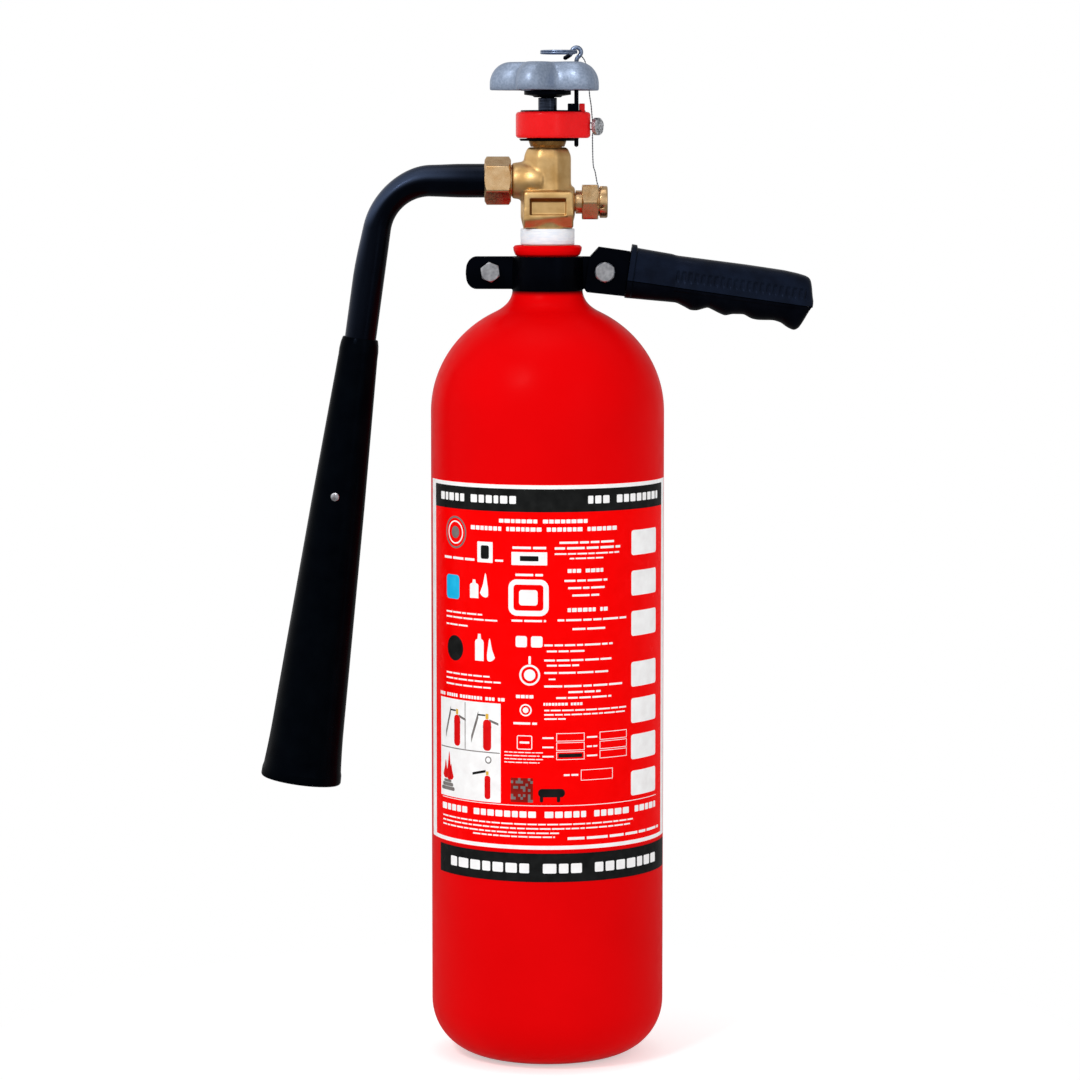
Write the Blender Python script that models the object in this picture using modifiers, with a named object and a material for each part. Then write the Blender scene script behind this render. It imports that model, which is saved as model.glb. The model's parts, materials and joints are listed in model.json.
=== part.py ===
"""Carbon dioxide fire extinguisher: a steel cylinder with a brass wheel valve, a swivelling
discharge tube and horn, and a carrying handle that pivots on the neck clamp.

Sizes are in millimetres and MM turns them into metres. +Z is up, the cylinder's axis stands at
x = AXIS_X, the front looks along -Y, and the floor is z = 0.
"""

import math

import bmesh
import bpy
from mathutils import Matrix, Vector

MM = 0.001
GAP = 0.3  # clearance between two pieces that touch
FULL = 2 * math.pi

# Whole object
AXIS_X = 7.2  # puts the middle of the outline, horn to handle, over the origin

# Cylinder
BODY_R = 70.0
BODY_WALL = 4.5
SHOULDER_Z = 390.0  # where the straight side ends
SHOULDER_RISE = 66.5
CORNER_R = 33.0  # bottom corner
FOOT_INNER_R = 32.0
DISH_RISE = 14.0  # how far the base is pressed inwards
NECK_ROOT_R = 20.5
NECK_WAIST_R = 18.0
NECK_LIP_R = 17.0
NECK_BORE_R = 14.7
NECK_WAIST_Z = 462.6
NECK_LIP_Z = 482.4
NECK_TOP_Z = 488.6

# Valve
STEM_R = 14.4
STEM_BOTTOM_Z = 470.0
COLLAR_R = 16.4
COLLAR_Z = 499.5
UPPER_ACROSS = 28.0  # across the flats of the eight-sided upper body
BODY_TOP_Z = 547.5
OUTLET_Z = 527.6
BOSS_R = 9.9
BOSS_END_X = -19.6
SPIGOT_R = 10.7
SPIGOT_END_X = -29.5
BORE_R = 4.0
SEAT_Z = 517.3
CHAMBER_R = 8.9
RELIEF_Z = 514.9  # height of the pressure relief plug
RELIEF_FACE_X = 16.4
RELIEF_SEAT_X = 8.0

# Spindle and handwheel
SPINDLE_R = 5.6
SPINDLE_TOP_R = 4.0
SPINDLE_BOTTOM_Z = 524.3
SPINDLE_SHOULDER_Z = 576.8
WHEEL_BOTTOM_Z = 581.3
WHEEL_TOP_Z = 598.0
WHEEL_TIP_R = 35.0
WHEEL_VALLEY_R = 22.5
WHEEL_LOBES = 5
WHEEL_FIRST_LOBE = math.radians(-111.2)  # the lobe nearest the front, measured from +X
WHEEL_WALL = 3.0
LOBE_FALL = 13.0  # drop of a lobe's rounded edge
LOBE_ROUND = 12.3  # width of that edge

# Guard ring, pin and pull ring
RING_R = 19.0
RING_BOTTOM_Z = 552.8
RING_TOP_Z = 569.0
LUG_TOP_Z = 573.4
PIN_X = 17.2
PIN_R = 1.3
PIN_TIP_Z = 547.6
EYE_Z = 603.8
EYE_R = 2.75
PULL_RING_R = 10.5
PULL_WIRE_R = 1.2

# Discharge tube and horn
TUBE_R = 9.5
TUBE_WALL = 2.0
TUBE_CORNER_X = -99.0
TUBE_BEND_R = 33.0
HORN_TILT = math.radians(7.95)
HORN_TOP = 94.0  # below the outlet axis
HORN_LENGTH = 270.0
HORN_INSERT = 104.0  # length of tube inside the horn
HORN_WALL = 2.2
NUT_ACROSS_CORNERS = 29.4

# Neck clamp and handle
CLAMP_Z = 473.3
CLAMP_HEIGHT = 18.4
CLAMP_LEFT_X = -47.8
CLAMP_RIGHT_X = 42.6
STRAP = 3.2
EAR_GAP = 2.0  # from the middle plane to an ear's inner face
CLAMP_BOLT_X = 34.2
HANDLE_TILT = math.radians(8.2)
CHEEK_INNER = EAR_GAP + STRAP + GAP
CHEEK_OUTER = 9.2
SEAM_W = -3.0  # where the grip's halves meet
GRIP_START = 14.8
GRIP_END = 124.6
GRIP_SCREWS = (38.0, 96.0)


# ---------------------------------------------------------------- helpers

for old in list(bpy.data.objects):
    bpy.data.objects.remove(old, do_unlink=True)

parts = bpy.data.collections.new("fire_extinguisher")
cutters = bpy.data.collections.new("cutters")
for group in (parts, cutters):
    bpy.context.scene.collection.children.link(group)
cutters.hide_render = True


def srgb(code):
    """Linear colour of a hex code."""
    values = [int(code[i : i + 2], 16) / 255 for i in (0, 2, 4)]
    linear = [v / 12.92 if v <= 0.04045 else ((v + 0.055) / 1.055) ** 2.4 for v in values]
    return (*linear, 1.0)


def make_material(name, code, roughness, metallic):
    made = bpy.data.materials.new(name)
    made.use_nodes = True
    shader = made.node_tree.nodes["Principled BSDF"]
    shader.inputs["Base Color"].default_value = srgb(code)
    shader.inputs["Roughness"].default_value = roughness
    shader.inputs["Metallic"].default_value = metallic
    made.diffuse_color = srgb(code)
    return made


RED_PAINT = make_material("red_enamel", "D9080A", 0.25, 0.0)
BRASS = make_material("brass", "C99A4B", 0.3, 1.0)
ZINC = make_material("zinc_plated_steel", "A6A6AA", 0.35, 1.0)
BLACK_STEEL = make_material("black_painted_steel", "101420", 0.35, 0.0)
BLACK_PLASTIC = make_material("black_plastic", "12161F", 0.45, 0.0)
GREY_METAL = make_material("grey_die_casting", "8090AA", 0.4, 0.6)
RED_PLASTIC = make_material("red_plastic", "EE151A", 0.35, 0.0)
WHITE_TAPE = make_material("white_thread_tape", "EEF3FA", 0.6, 0.0)
FIBRE = make_material("nylon", "D8D4C4", 0.5, 0.0)
STEEL = make_material("steel", "8A8D92", 0.35, 1.0)
LEAD = make_material("lead", "B8BABC", 0.45, 1.0)


def empty(name, parent=None, location=(0, 0, 0), rotation=(0, 0, 0)):
    made = bpy.data.objects.new(name, None)
    made.empty_display_size = 10 * MM
    made.location = Vector(location) * MM
    made.rotation_euler = rotation
    made.parent = parent
    parts.objects.link(made)
    return made


def keep(obj, material, parent, location=(0, 0, 0), rotation=(0, 0, 0), smooth=30):
    """Gives a piece its material, its parent and its place."""
    for group in list(obj.users_collection):
        group.objects.unlink(obj)
    parts.objects.link(obj)
    obj.data.materials.clear()
    obj.data.materials.append(material)
    obj.parent = parent
    obj.location = Vector(location) * MM
    obj.rotation_euler = rotation
    if obj.type == "MESH":
        obj.data.shade_smooth()
        obj.data.set_sharp_from_angle(angle=math.radians(smooth))
    return obj


def new_object(name, mesh):
    obj = bpy.data.objects.new(name, mesh)
    cutters.objects.link(obj)
    obj.hide_render = True
    obj.display_type = "WIRE"
    return obj


def show(obj):
    obj.hide_render = False
    obj.display_type = "TEXTURED"
    return obj


def turned(name, profile, steps=20, closed=False):
    """A profile of (radius, height) points turned about Z, outer side from top to bottom."""
    mesh = bpy.data.meshes.new(name)
    points = [(r * MM, 0, z * MM) for r, z in profile]
    edges = [(i, i + 1) for i in range(len(points) - 1)]
    if closed:
        edges.append((len(points) - 1, 0))
    mesh.from_pydata(points, edges, [])
    obj = new_object(name, mesh)
    screw = obj.modifiers.new("turn", "SCREW")
    screw.angle = FULL
    screw.steps = screw.render_steps = steps
    screw.use_merge_vertices = True
    screw.merge_threshold = 0.00001
    screw.use_smooth_shade = True
    return obj


def baked(obj):
    """The object with its modifiers, or its curve, turned into plain mesh."""
    bpy.context.view_layer.update()
    graph = bpy.context.evaluated_depsgraph_get()
    mesh = bpy.data.meshes.new_from_object(obj.evaluated_get(graph))
    name = obj.name
    matrix = obj.matrix_world.copy()
    bpy.data.objects.remove(obj, do_unlink=True)
    shape = bmesh.new()
    shape.from_mesh(mesh)
    bmesh.ops.remove_doubles(shape, verts=shape.verts, dist=0.000002)
    shape.to_mesh(mesh)
    shape.free()
    made = new_object(name, mesh)
    made.matrix_world = matrix
    return made


def move(obj, matrix):
    """Moves a mesh inside its object, so that the origin stays where it is."""
    obj.data.transform(matrix)
    return obj


def shift(x, y, z):
    return Matrix.Translation(Vector((x, y, z)) * MM)


def turn(angle, axis):
    return Matrix.Rotation(angle, 4, axis)


def prism(name, sides, radius, low, high, spin=0.0):
    """A regular prism or cylinder about Z between two heights."""
    shape = bmesh.new()
    bmesh.ops.create_cone(
        shape,
        cap_ends=True,
        segments=sides,
        radius1=radius * MM,
        radius2=radius * MM,
        depth=(high - low) * MM,
        matrix=shift(0, 0, (high + low) / 2) @ turn(spin, "Z"),
    )
    mesh = bpy.data.meshes.new(name)
    shape.to_mesh(mesh)
    shape.free()
    return new_object(name, mesh)


def block(name, low, high):
    """A box between two corners."""
    shape = bmesh.new()
    middle = (Vector(low) + Vector(high)) / 2
    size = Vector(high) - Vector(low)
    place = shift(*middle) @ Matrix.Diagonal((*(size * MM), 1))
    bmesh.ops.create_cube(shape, size=1, matrix=place)
    mesh = bpy.data.meshes.new(name)
    shape.to_mesh(mesh)
    shape.free()
    return new_object(name, mesh)


def plate(name, outline, thickness):
    """A flat outline of (x, y) points, filled and given a thickness about z = 0."""
    curve = bpy.data.curves.new(name, "CURVE")
    curve.dimensions = "2D"
    curve.fill_mode = "BOTH"
    curve.extrude = thickness / 2 * MM
    spline = curve.splines.new("POLY")
    spline.points.add(len(outline) - 1)
    for point, (x, y) in zip(spline.points, outline):
        point.co = (x * MM, y * MM, 0, 1)
    spline.use_cyclic_u = True
    return baked(new_object(name, curve))


def wire(name, points, radius, resolution=2, caps=True):
    """A round wire or tube along points."""
    curve = bpy.data.curves.new(name, "CURVE")
    curve.dimensions = "3D"
    curve.bevel_depth = radius * MM
    curve.bevel_resolution = resolution
    curve.use_fill_caps = caps
    curve.render_resolution_u = 0
    spline = curve.splines.new("POLY")
    spline.points.add(len(points) - 1)
    for point, place in zip(spline.points, points):
        point.co = (*(Vector(place) * MM), 1)
    return new_object(name, curve)


def boolean(obj, other, operation):
    made = obj.modifiers.new(f"{operation.lower()} {other.name}", "BOOLEAN")
    made.operation = operation
    made.object = other
    made.solver = "EXACT"
    return obj


def cut(obj, *others):
    for other in others:
        boolean(obj, other, "DIFFERENCE")
    return obj


def join(obj, *others):
    for other in others:
        boolean(obj, other, "UNION")
    return obj


def finish(obj, bevel=0.0, segments=1, angle=40):
    """Applies a piece's joins and cuts, and rounds its edges."""
    obj = baked(obj)
    if bevel:
        round_off = obj.modifiers.new("edges", "BEVEL")
        round_off.width = bevel * MM
        round_off.segments = segments
        round_off.limit_method = "ANGLE"
        round_off.angle_limit = math.radians(angle)
    return show(obj)


def arc(centre, radius, start, end, count):
    """Points on a circle, from one angle to another in degrees, both ends included."""
    angles = [math.radians(start + (end - start) * i / (count - 1)) for i in range(count)]
    return [(centre[0] + radius * math.cos(a), centre[1] + radius * math.sin(a)) for a in angles]


def bend(start, corner, end, count):
    """Points on a quadratic curve, without its first one."""
    points = []
    for i in range(1, count + 1):
        t = i / count
        a, b, c = (1 - t) ** 2, 2 * t * (1 - t), t * t
        points.append(tuple(a * p + b * q + c * r for p, q, r in zip(start, corner, end)))
    return points


def blend(low, high, t):
    t = min(max(t, 0.0), 1.0)
    return low + (high - low) * t * t * (3 - 2 * t)


def along_x(obj):
    """Turns a piece made about Z so that its top points along +X."""
    return move(obj, turn(math.pi / 2, "Y"))


def along_y(obj):
    """Turns a piece made about Z so that its top points to the front, along -Y."""
    return move(obj, turn(math.pi / 2, "X"))


def hexagon(name, across, low, high, chamfer=0.12, spin=0.0):
    """A hexagon bar about Z with both ends turned off at their corners."""
    corner = across / math.sqrt(3)
    rim = across / 2 * 1.01
    drop = corner * chamfer
    bar = prism(name, 6, corner, low, high, spin)
    turned_off = turned(
        name + "_turning",
        [
            (0, high + 1e-2),
            (rim, high + 1e-2),
            (corner + 0.02, high - drop),
            (corner + 0.02, low + drop),
            (rim, low - 1e-2),
            (0, low - 1e-2),
        ],
        12,
    )
    return boolean(bar, turned_off, "INTERSECT")


# ---------------------------------------------------------------- frames of reference

axis = empty("cylinder_axis", None, (AXIS_X, 0, 0))
swivel = empty("horn_swivel_axis", axis, (0, 0, OUTLET_Z))
horn_frame = empty(
    "horn_frame",
    swivel,
    (TUBE_CORNER_X - math.tan(HORN_TILT) * HORN_TOP, 0, -HORN_TOP),
    (0, HORN_TILT, 0),
)
handle_pivot = empty(
    "handle_pivot_axis", axis, (CLAMP_BOLT_X, 0, CLAMP_Z), (0, HANDLE_TILT, 0)
)


# ---------------------------------------------------------------- cylinder


def shoulder(radius, rise, count, narrowest):
    """The elliptical shoulder from the neck side down to the straight side."""
    start = math.acos(narrowest / radius)
    angles = [start * (1 - i / (count - 1)) for i in range(count)]
    return [(radius * math.cos(a), SHOULDER_Z + rise * math.sin(a)) for a in angles]


def dish(rim_r, rim_z, top_z, count):
    """The base pressed inwards, from its rim to the axis."""
    return [
        (rim_r * (1 - i / count), rim_z + (top_z - rim_z) * math.sin(i / count * math.pi / 2))
        for i in range(1, count + 1)
    ]


def make_cylinder():
    outer_shoulder = shoulder(BODY_R, SHOULDER_RISE, 7, 31.5)
    top_r, top_z = outer_shoulder[0]
    slope = SHOULDER_RISE / BODY_R * top_r / math.sqrt(BODY_R**2 - top_r**2)
    corner = (NECK_ROOT_R, top_z + (top_r - NECK_ROOT_R) * slope)
    neck_foot = (NECK_ROOT_R, NECK_WAIST_Z - 0.8)
    outer = [
        (NECK_LIP_R, NECK_TOP_Z),
        (NECK_LIP_R, NECK_LIP_Z),
        (NECK_WAIST_R, NECK_LIP_Z),
        (NECK_WAIST_R, NECK_WAIST_Z),
        neck_foot,
        *bend(neck_foot, corner, (top_r, top_z), 3),
        *outer_shoulder[1:],
        *arc((BODY_R - CORNER_R, CORNER_R), CORNER_R, 0, -90, 6),
        (FOOT_INNER_R, 0),
        *dish(FOOT_INNER_R, 0, DISH_RISE, 3),
    ]
    inner_r = BODY_R - BODY_WALL
    inner = [
        (0, DISH_RISE + BODY_WALL),
        *reversed(dish(FOOT_INNER_R, BODY_WALL, DISH_RISE + BODY_WALL, 2)[:-1]),
        *reversed(arc((BODY_R - CORNER_R, CORNER_R), CORNER_R - BODY_WALL, 0, -90, 3)),
        *reversed(shoulder(inner_r, SHOULDER_RISE - BODY_WALL, 4, NECK_BORE_R)),
        (NECK_BORE_R, NECK_TOP_Z),
    ]
    shell = show(turned("cylinder_shell", inner + outer, 28))
    keep(shell, RED_PAINT, axis)

    ring = turned(
        "neck_ring",
        [
            (NECK_LIP_R + GAP, 489.2),
            (19.3, 489.2),
            (19.9, 488.6),
            (19.6, 486.8),
            (18.5, 484.4),
            (18.2, NECK_LIP_Z + GAP),
            (NECK_LIP_R + GAP, NECK_LIP_Z + GAP),
        ],
        20,
        closed=True,
    )
    keep(show(ring), RED_PAINT, axis)

    tape = turned(
        "thread_tape",
        [
            (STEM_R + GAP, 499.1),
            (16.5, 499.1),
            (16.8, 498.2),
            (16.8, 490.4),
            (16.4, 489.5),
            (STEM_R + GAP, 489.5),
        ],
        20,
        closed=True,
    )
    keep(show(tape), WHITE_TAPE, axis)


# ---------------------------------------------------------------- valve body


def make_valve_body():
    body = turned(
        "valve_body",
        [
            (0, 522),
            (12.5, 522),
            (14.2, 519.5),
            (COLLAR_R, 513),
            (COLLAR_R, COLLAR_Z + 0.9),
            (COLLAR_R - 0.9, COLLAR_Z),
            (STEM_R, COLLAR_Z),
            (STEM_R, STEM_BOTTOM_Z + 1),
            (STEM_R - 1, STEM_BOTTOM_Z),
            (0, STEM_BOTTOM_Z),
        ],
        28,
    )
    corner = 1 / math.cos(math.pi / 8)
    flat = UPPER_ACROSS / 2
    upper = baked(
        turned(
            "valve_upper",
            [
                (0, BODY_TOP_Z),
                (11.6 * corner, BODY_TOP_Z),
                (12.7 * corner, BODY_TOP_Z - 1.0),
                (flat * corner, BODY_TOP_Z - 4.4),
                (flat * corner, 512),
                (0, 512),
            ],
            8,
        )
    )
    move(upper, turn(math.pi / 8, "Z"))
    boss = along_x(
        baked(
            turned(
                "valve_boss",
                [
                    (0, 0),
                    (15.5, -9.0),
                    (13.2, -12.0),
                    (11.0, -15.0),
                    (BOSS_R, -17.5),
                    (BOSS_R, BOSS_END_X),
                    (SPIGOT_R - 1.2, BOSS_END_X),
                    (SPIGOT_R - 1.2, BOSS_END_X - 1.6),
                    (SPIGOT_R, BOSS_END_X - 2.2),
                    (SPIGOT_R, SPIGOT_END_X + 0.8),
                    (SPIGOT_R - 0.8, SPIGOT_END_X),
                    (0, SPIGOT_END_X),
                ],
                20,
            )
        )
    )
    move(boss, shift(0, 0, OUTLET_Z))
    relief_boss = along_x(prism("relief_boss", 16, 9.2, 4, RELIEF_FACE_X))
    move(relief_boss, shift(0, 0, RELIEF_Z))
    pad = block("panel_pad", (-14.4, -17.2, 503.2), (15.6, 17.2, 521.6))
    soften = pad.modifiers.new("soften", "BEVEL")
    soften.width = 2.4 * MM
    soften.segments = 2
    join(body, upper, boss, relief_boss, baked(pad))

    chamber = prism("chamber", 16, CHAMBER_R, SEAT_Z, 560)
    bore = prism("bore", 12, BORE_R, 450, 530)
    dip_socket = prism("dip_socket", 12, 5.3, 450, 484)
    outlet = move(along_x(prism("outlet_bore", 12, 5.0, -40, 0)), shift(0, 0, OUTLET_Z))
    relief_bore = move(
        along_x(prism("relief_bore", 12, 6.0, RELIEF_SEAT_X, 30)), shift(0, 0, RELIEF_Z)
    )
    relief_port = move(along_x(prism("relief_port", 8, 2.0, 0, 12)), shift(0, 0, RELIEF_Z))
    panel = block("panel_recess", (-9.8, -20, 506.8), (12.0, -16.3, 517.2))
    cut(body, chamber, bore, dip_socket, outlet, relief_bore, relief_port, panel)
    keep(finish(body), BRASS, axis, smooth=35)


def make_dip_tube():
    """Runs from the valve's stem to just above the base, cut at a slant so that it can't seal."""
    low, high = 26.0, 483.6
    pipe = turned("dip_tube", [(4, high), (5, high), (5, low), (4, low)], 16, closed=True)
    slant = move(block("slant", (-20, -20, -40), (20, 20, 0)), turn(math.radians(35), "Y"))
    move(slant, shift(0, 0, low + 5))
    keep(finish(cut(baked(pipe), slant)), STEEL, axis)


def make_relief():
    """The plug that holds the bursting disc, with its hexagon and the vented cap."""
    disc = turned("burst_disc", [(0, 8.7), (5.7, 8.7), (5.7, 8.3), (0, 8.3)], 16)
    keep(show(along_x(baked(disc))), STEEL, axis, (0, 0, RELIEF_Z))

    start, hex_start, hex_end, cap_end = 9.0, 20.5, 31.0, 36.6
    plug = turned(
        "relief_plug",
        [
            (0, cap_end),
            (8.4, cap_end),
            (9.5, cap_end - 1.0),
            (9.5, hex_end + 1.5),
            (8.2, hex_end + 1.2),
            (8.2, hex_end - 0.5),
            (7.0, hex_start + 0.5),
            (7.0, RELIEF_FACE_X + GAP),
            (5.7, RELIEF_FACE_X + GAP),
            (5.7, start),
            (0, start),
        ],
        16,
    )
    nut = baked(hexagon("relief_hexagon", 20.6, hex_start, hex_end, 0.08, math.pi / 6))
    vent = prism("relief_vent", 8, 2.0, 0, 34.6)
    join(plug, nut)
    cut(plug, vent)
    for i in range(4):
        hole = prism(f"vent_hole_{i}", 6, 1.2, 1, 15)
        move(hole, turn(math.radians(45 + 90 * i), "Z") @ turn(math.pi / 2, "Y"))
        cut(plug, move(hole, shift(0, 0, 33.6)))
    keep(show(along_x(baked(plug))), BRASS, axis, (0, 0, RELIEF_Z))


# ---------------------------------------------------------------- bonnet, spindle and seat


def make_bonnet():
    """The screwed bonnet, its packing and the gland nut that squeezes it on the spindle."""
    clear = SPINDLE_R + GAP
    profile = [
        (7.9, 563.0),
        (9.0, 563.0),
        (9.0, 550.0),
        (11.6, 550.0),
        (11.6, BODY_TOP_Z + GAP),
        (CHAMBER_R - GAP, BODY_TOP_Z + GAP),
        (CHAMBER_R - GAP, 533.0),
        (clear, 533.0),
        (clear, 555.6),
        (7.9, 555.6),
    ]
    keep(show(turned("bonnet", profile, 16, closed=True)), BRASS, axis)
    packing = [(clear, 559.0), (7.6, 559.0), (7.6, 555.9), (clear, 555.9)]
    keep(show(turned("gland_packing", packing, 16, closed=True)), FIBRE, axis)
    nut = [
        (clear, 568.2),
        (8.2, 568.2),
        (8.9, 567.4),
        (8.9, 563.3),
        (7.6, 563.3),
        (7.6, 559.3),
        (clear, 559.3),
    ]
    keep(show(turned("gland_nut", nut, 16, closed=True)), BRASS, axis)


def make_spindle():
    seat = [(0, 524.0), (6.8, 524.0), (6.8, 519.2), (5.6, SEAT_Z + GAP), (0, SEAT_Z + GAP)]
    keep(show(turned("seat_disc", seat, 16)), FIBRE, axis)
    profile = [
        (0, 597.0),
        (SPINDLE_TOP_R - 0.5, 597.0),
        (SPINDLE_TOP_R, 596.5),
        (SPINDLE_TOP_R, SPINDLE_SHOULDER_Z),
        (SPINDLE_R, SPINDLE_SHOULDER_Z),
        (SPINDLE_R, 530.0),
        (4.6, 527.0),
        (4.6, SPINDLE_BOTTOM_Z),
        (0, SPINDLE_BOTTOM_Z),
    ]
    keep(show(turned("spindle", profile, 16)), STEEL, axis)


# ---------------------------------------------------------------- handwheel


def wheel_radius(angle):
    """The lobed outline: it swings between the valley radius and the tip radius."""
    wave = (1 + math.cos(WHEEL_LOBES * (angle - WHEEL_FIRST_LOBE))) / 2
    return WHEEL_VALLEY_R + (WHEEL_TIP_R - WHEEL_VALLEY_R) * wave**0.75


def make_handwheel():
    """A domed shell with five lobes, open below, on a hub that the spindle's nut holds."""
    around, down = 40, 3
    shape = bmesh.new()
    centre = shape.verts.new((0, 0, WHEEL_TOP_Z * MM))
    rings = []
    for j in range(down + 3):
        ring = []
        for i in range(around):
            angle = FULL * i / around
            rim = wheel_radius(angle)
            if j == 0:
                r, z = 9.6, WHEEL_TOP_Z
            elif j == down + 2:
                r, z = rim, WHEEL_BOTTOM_Z
            else:
                t = (j - 1) / down * math.pi / 2
                r = rim - LOBE_ROUND + LOBE_ROUND * math.sin(t)
                z = WHEEL_TOP_Z - LOBE_FALL * (1 - math.cos(t))
            ring.append(
                shape.verts.new((r * math.cos(angle) * MM, r * math.sin(angle) * MM, z * MM))
            )
        rings.append(ring)
    for i in range(around):
        k = (i + 1) % around
        shape.faces.new((centre, rings[0][i], rings[0][k]))
        for upper, lower in zip(rings, rings[1:]):
            shape.faces.new((upper[i], lower[i], lower[k], upper[k]))
    bmesh.ops.recalc_face_normals(shape, faces=shape.faces)
    mesh = bpy.data.meshes.new("handwheel")
    shape.to_mesh(mesh)
    shape.free()
    wheel = new_object("handwheel", mesh)
    wall = wheel.modifiers.new("wall", "SOLIDIFY")
    wall.thickness = WHEEL_WALL * MM
    wall.offset = -1
    hub = prism("wheel_hub", 16, 10.5, WHEEL_BOTTOM_Z, WHEEL_TOP_Z - 1)
    shaft = prism("wheel_bore", 12, SPINDLE_TOP_R + GAP, 570, 610)
    recess = prism("wheel_recess", 16, 8.6, 593.0, 610)
    pin_hole = move(prism("wheel_pin_hole", 8, 1.9, 570, 610), shift(PIN_X, 0, 0))
    wheel = join(baked(wheel), hub)
    keep(finish(cut(wheel, shaft, recess, pin_hole)), GREY_METAL, axis)

    boss = turned(
        "wheel_boss",
        [
            (SPINDLE_TOP_R + GAP, WHEEL_BOTTOM_Z - GAP),
            (14.0, WHEEL_BOTTOM_Z - GAP),
            (14.0, 578.6),
            (9.0, 577.9),
            (8.0, SPINDLE_SHOULDER_Z + GAP),
            (SPINDLE_TOP_R + GAP, SPINDLE_SHOULDER_Z + GAP),
        ],
        16,
        closed=True,
    )
    keep(show(boss), BLACK_PLASTIC, axis)

    nut = hexagon("wheel_nut", 13.0, 593.3, 596.6)
    thread = prism("wheel_nut_bore", 12, SPINDLE_TOP_R + GAP, 580, 610)
    keep(show(baked(cut(baked(nut), thread))), ZINC, axis)


# ---------------------------------------------------------------- guard ring, pin and pull ring


def hull_outline(small_x, small_r, big_r, count):
    """The outline of a big circle at the middle and a small one beside it, with their tangents."""
    split = math.degrees(math.acos((big_r - small_r) / small_x))
    return [
        *arc((0, 0), big_r, split, 360 - split, count),
        *arc((small_x, 0), small_r, -split, split, count // 2),
    ]


def make_guard():
    """The loose red ring round the gland, with its black core, which the pin keys to the wheel."""
    lobe_x, lobe_r = 17.6, 8.0
    skin = 2.6
    ring = plate("guard_ring", hull_outline(lobe_x, lobe_r, RING_R, 22), RING_TOP_Z - RING_BOTTOM_Z)
    move(ring, shift(0, 0, (RING_TOP_Z + RING_BOTTOM_Z) / 2))
    edges = ring.modifiers.new("edges", "BEVEL")
    edges.width = 0.9 * MM
    edges.segments = 1
    edges.limit_method = "ANGLE"
    edges.angle_limit = math.radians(50)
    lug = block("ring_lug", (20.2, -4.5, 560), (22.6, 4.5, LUG_TOP_Z))
    hollow = plate(
        "ring_hollow", hull_outline(lobe_x, lobe_r - skin, RING_R - skin, 18), 2 * LUG_TOP_Z
    )
    ring = join(baked(ring), lug)
    keep(finish(cut(ring, hollow)), RED_PLASTIC, axis, smooth=40)

    fit = skin + GAP
    deck = plate("guard_core", hull_outline(lobe_x, lobe_r - fit, RING_R - fit, 16), 3.0)
    move(deck, shift(0, 0, RING_TOP_Z - 1.2))
    hub = prism("core_hub", 12, 12.2, 550.3, RING_TOP_Z - 1)
    flange = turned(
        "core_flange",
        [(0, RING_BOTTOM_Z - GAP), (17.0, RING_BOTTOM_Z - GAP), (16.4, 550.3), (0, 550.3)],
        20,
    )
    post = block("core_post", (12.4, -4.2, 550.3), (20.0, 4.2, LUG_TOP_Z))
    through = prism("core_bore", 16, 9.0 + GAP, 540, 580)
    pin_hole = move(prism("core_pin_hole", 8, 1.75, 540, 580), shift(PIN_X, 0, 0))
    trim = block("core_trim", (16.9, -10, 545), (26, 10, 552.4))
    join(deck, baked(hub), baked(flange), baked(cut(post, trim)))
    keep(finish(cut(deck, through, pin_hole)), BLACK_PLASTIC, axis)


def make_pin():
    """A bent wire: a straight leg through wheel and ring, an eye on top, and a short leg."""
    eye = arc((PIN_X, EYE_Z), EYE_R, -30, 170, 9)
    path = [
        (PIN_X, PIN_TIP_Z),
        (PIN_X, 598.6),
        (PIN_X + 0.5, 600.4),
        (PIN_X + 1.6, 601.4),
        *eye,
        (13.4, 602.2),
        (9.4, 599.8),
    ]
    bar = wire("safety_pin", [(x - PIN_X, 0, z) for x, z in path], PIN_R, 1)
    keep(show(baked(bar)), ZINC, axis, (PIN_X, 0, 0))

    bpy.ops.mesh.primitive_torus_add(
        major_segments=24,
        minor_segments=6,
        major_radius=PULL_RING_R * MM,
        minor_radius=PULL_WIRE_R * MM,
        location=(0, 0, 0),
    )
    ring = bpy.context.object
    ring.name = "pull_ring"
    move(ring, shift(-PULL_RING_R, 0, 0))
    keep(ring, ZINC, axis, (PIN_X, 0, EYE_Z))


def make_seal():
    """The crimped seal, with one wire up to the pull ring and one down to the relief plug."""
    x, z = 30.6, 559.8
    profile = [(0, 1.8), (4.6, 1.8), (5.3, 0.9), (5.3, -0.9), (4.6, -1.8), (0, -1.8)]
    seal = along_y(baked(turned("tamper_seal", profile, 16)))
    move(seal, turn(math.radians(62), "Z"))
    cut(seal, prism("seal_hole", 8, 0.8, -10, 10))
    keep(finish(seal), LEAD, axis, (x, 0, z))

    hook = [(hx, 3.8, hz) for hx, hz in arc((PIN_X, EYE_Z), 2.45, -35, 205, 8)]
    upper = [
        (x, 0, z + 1.2),
        (x, 0, z + 6.2),
        (28.4, 0, 572),
        (26.8, -0.2, 580),
        (26.0, -0.2, 590),
        (25.2, 0.6, 598.4),
        (22.8, 2.4, 600.6),
        (20.6, 3.6, 601.8),
        *hook,
    ]
    keep(show(baked(wire("tamper_wire", upper, 0.35, 1))), STEEL, axis)
    lower = [(31.75, 0, RELIEF_Z + 8.7), (31.3, 0, 536), (30.9, 0, 548), (x, 0, z - 5.6)]
    keep(show(baked(wire("tamper_wire_tail", lower, 0.35, 1))), STEEL, axis)


# ---------------------------------------------------------------- discharge tube and horn


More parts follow.
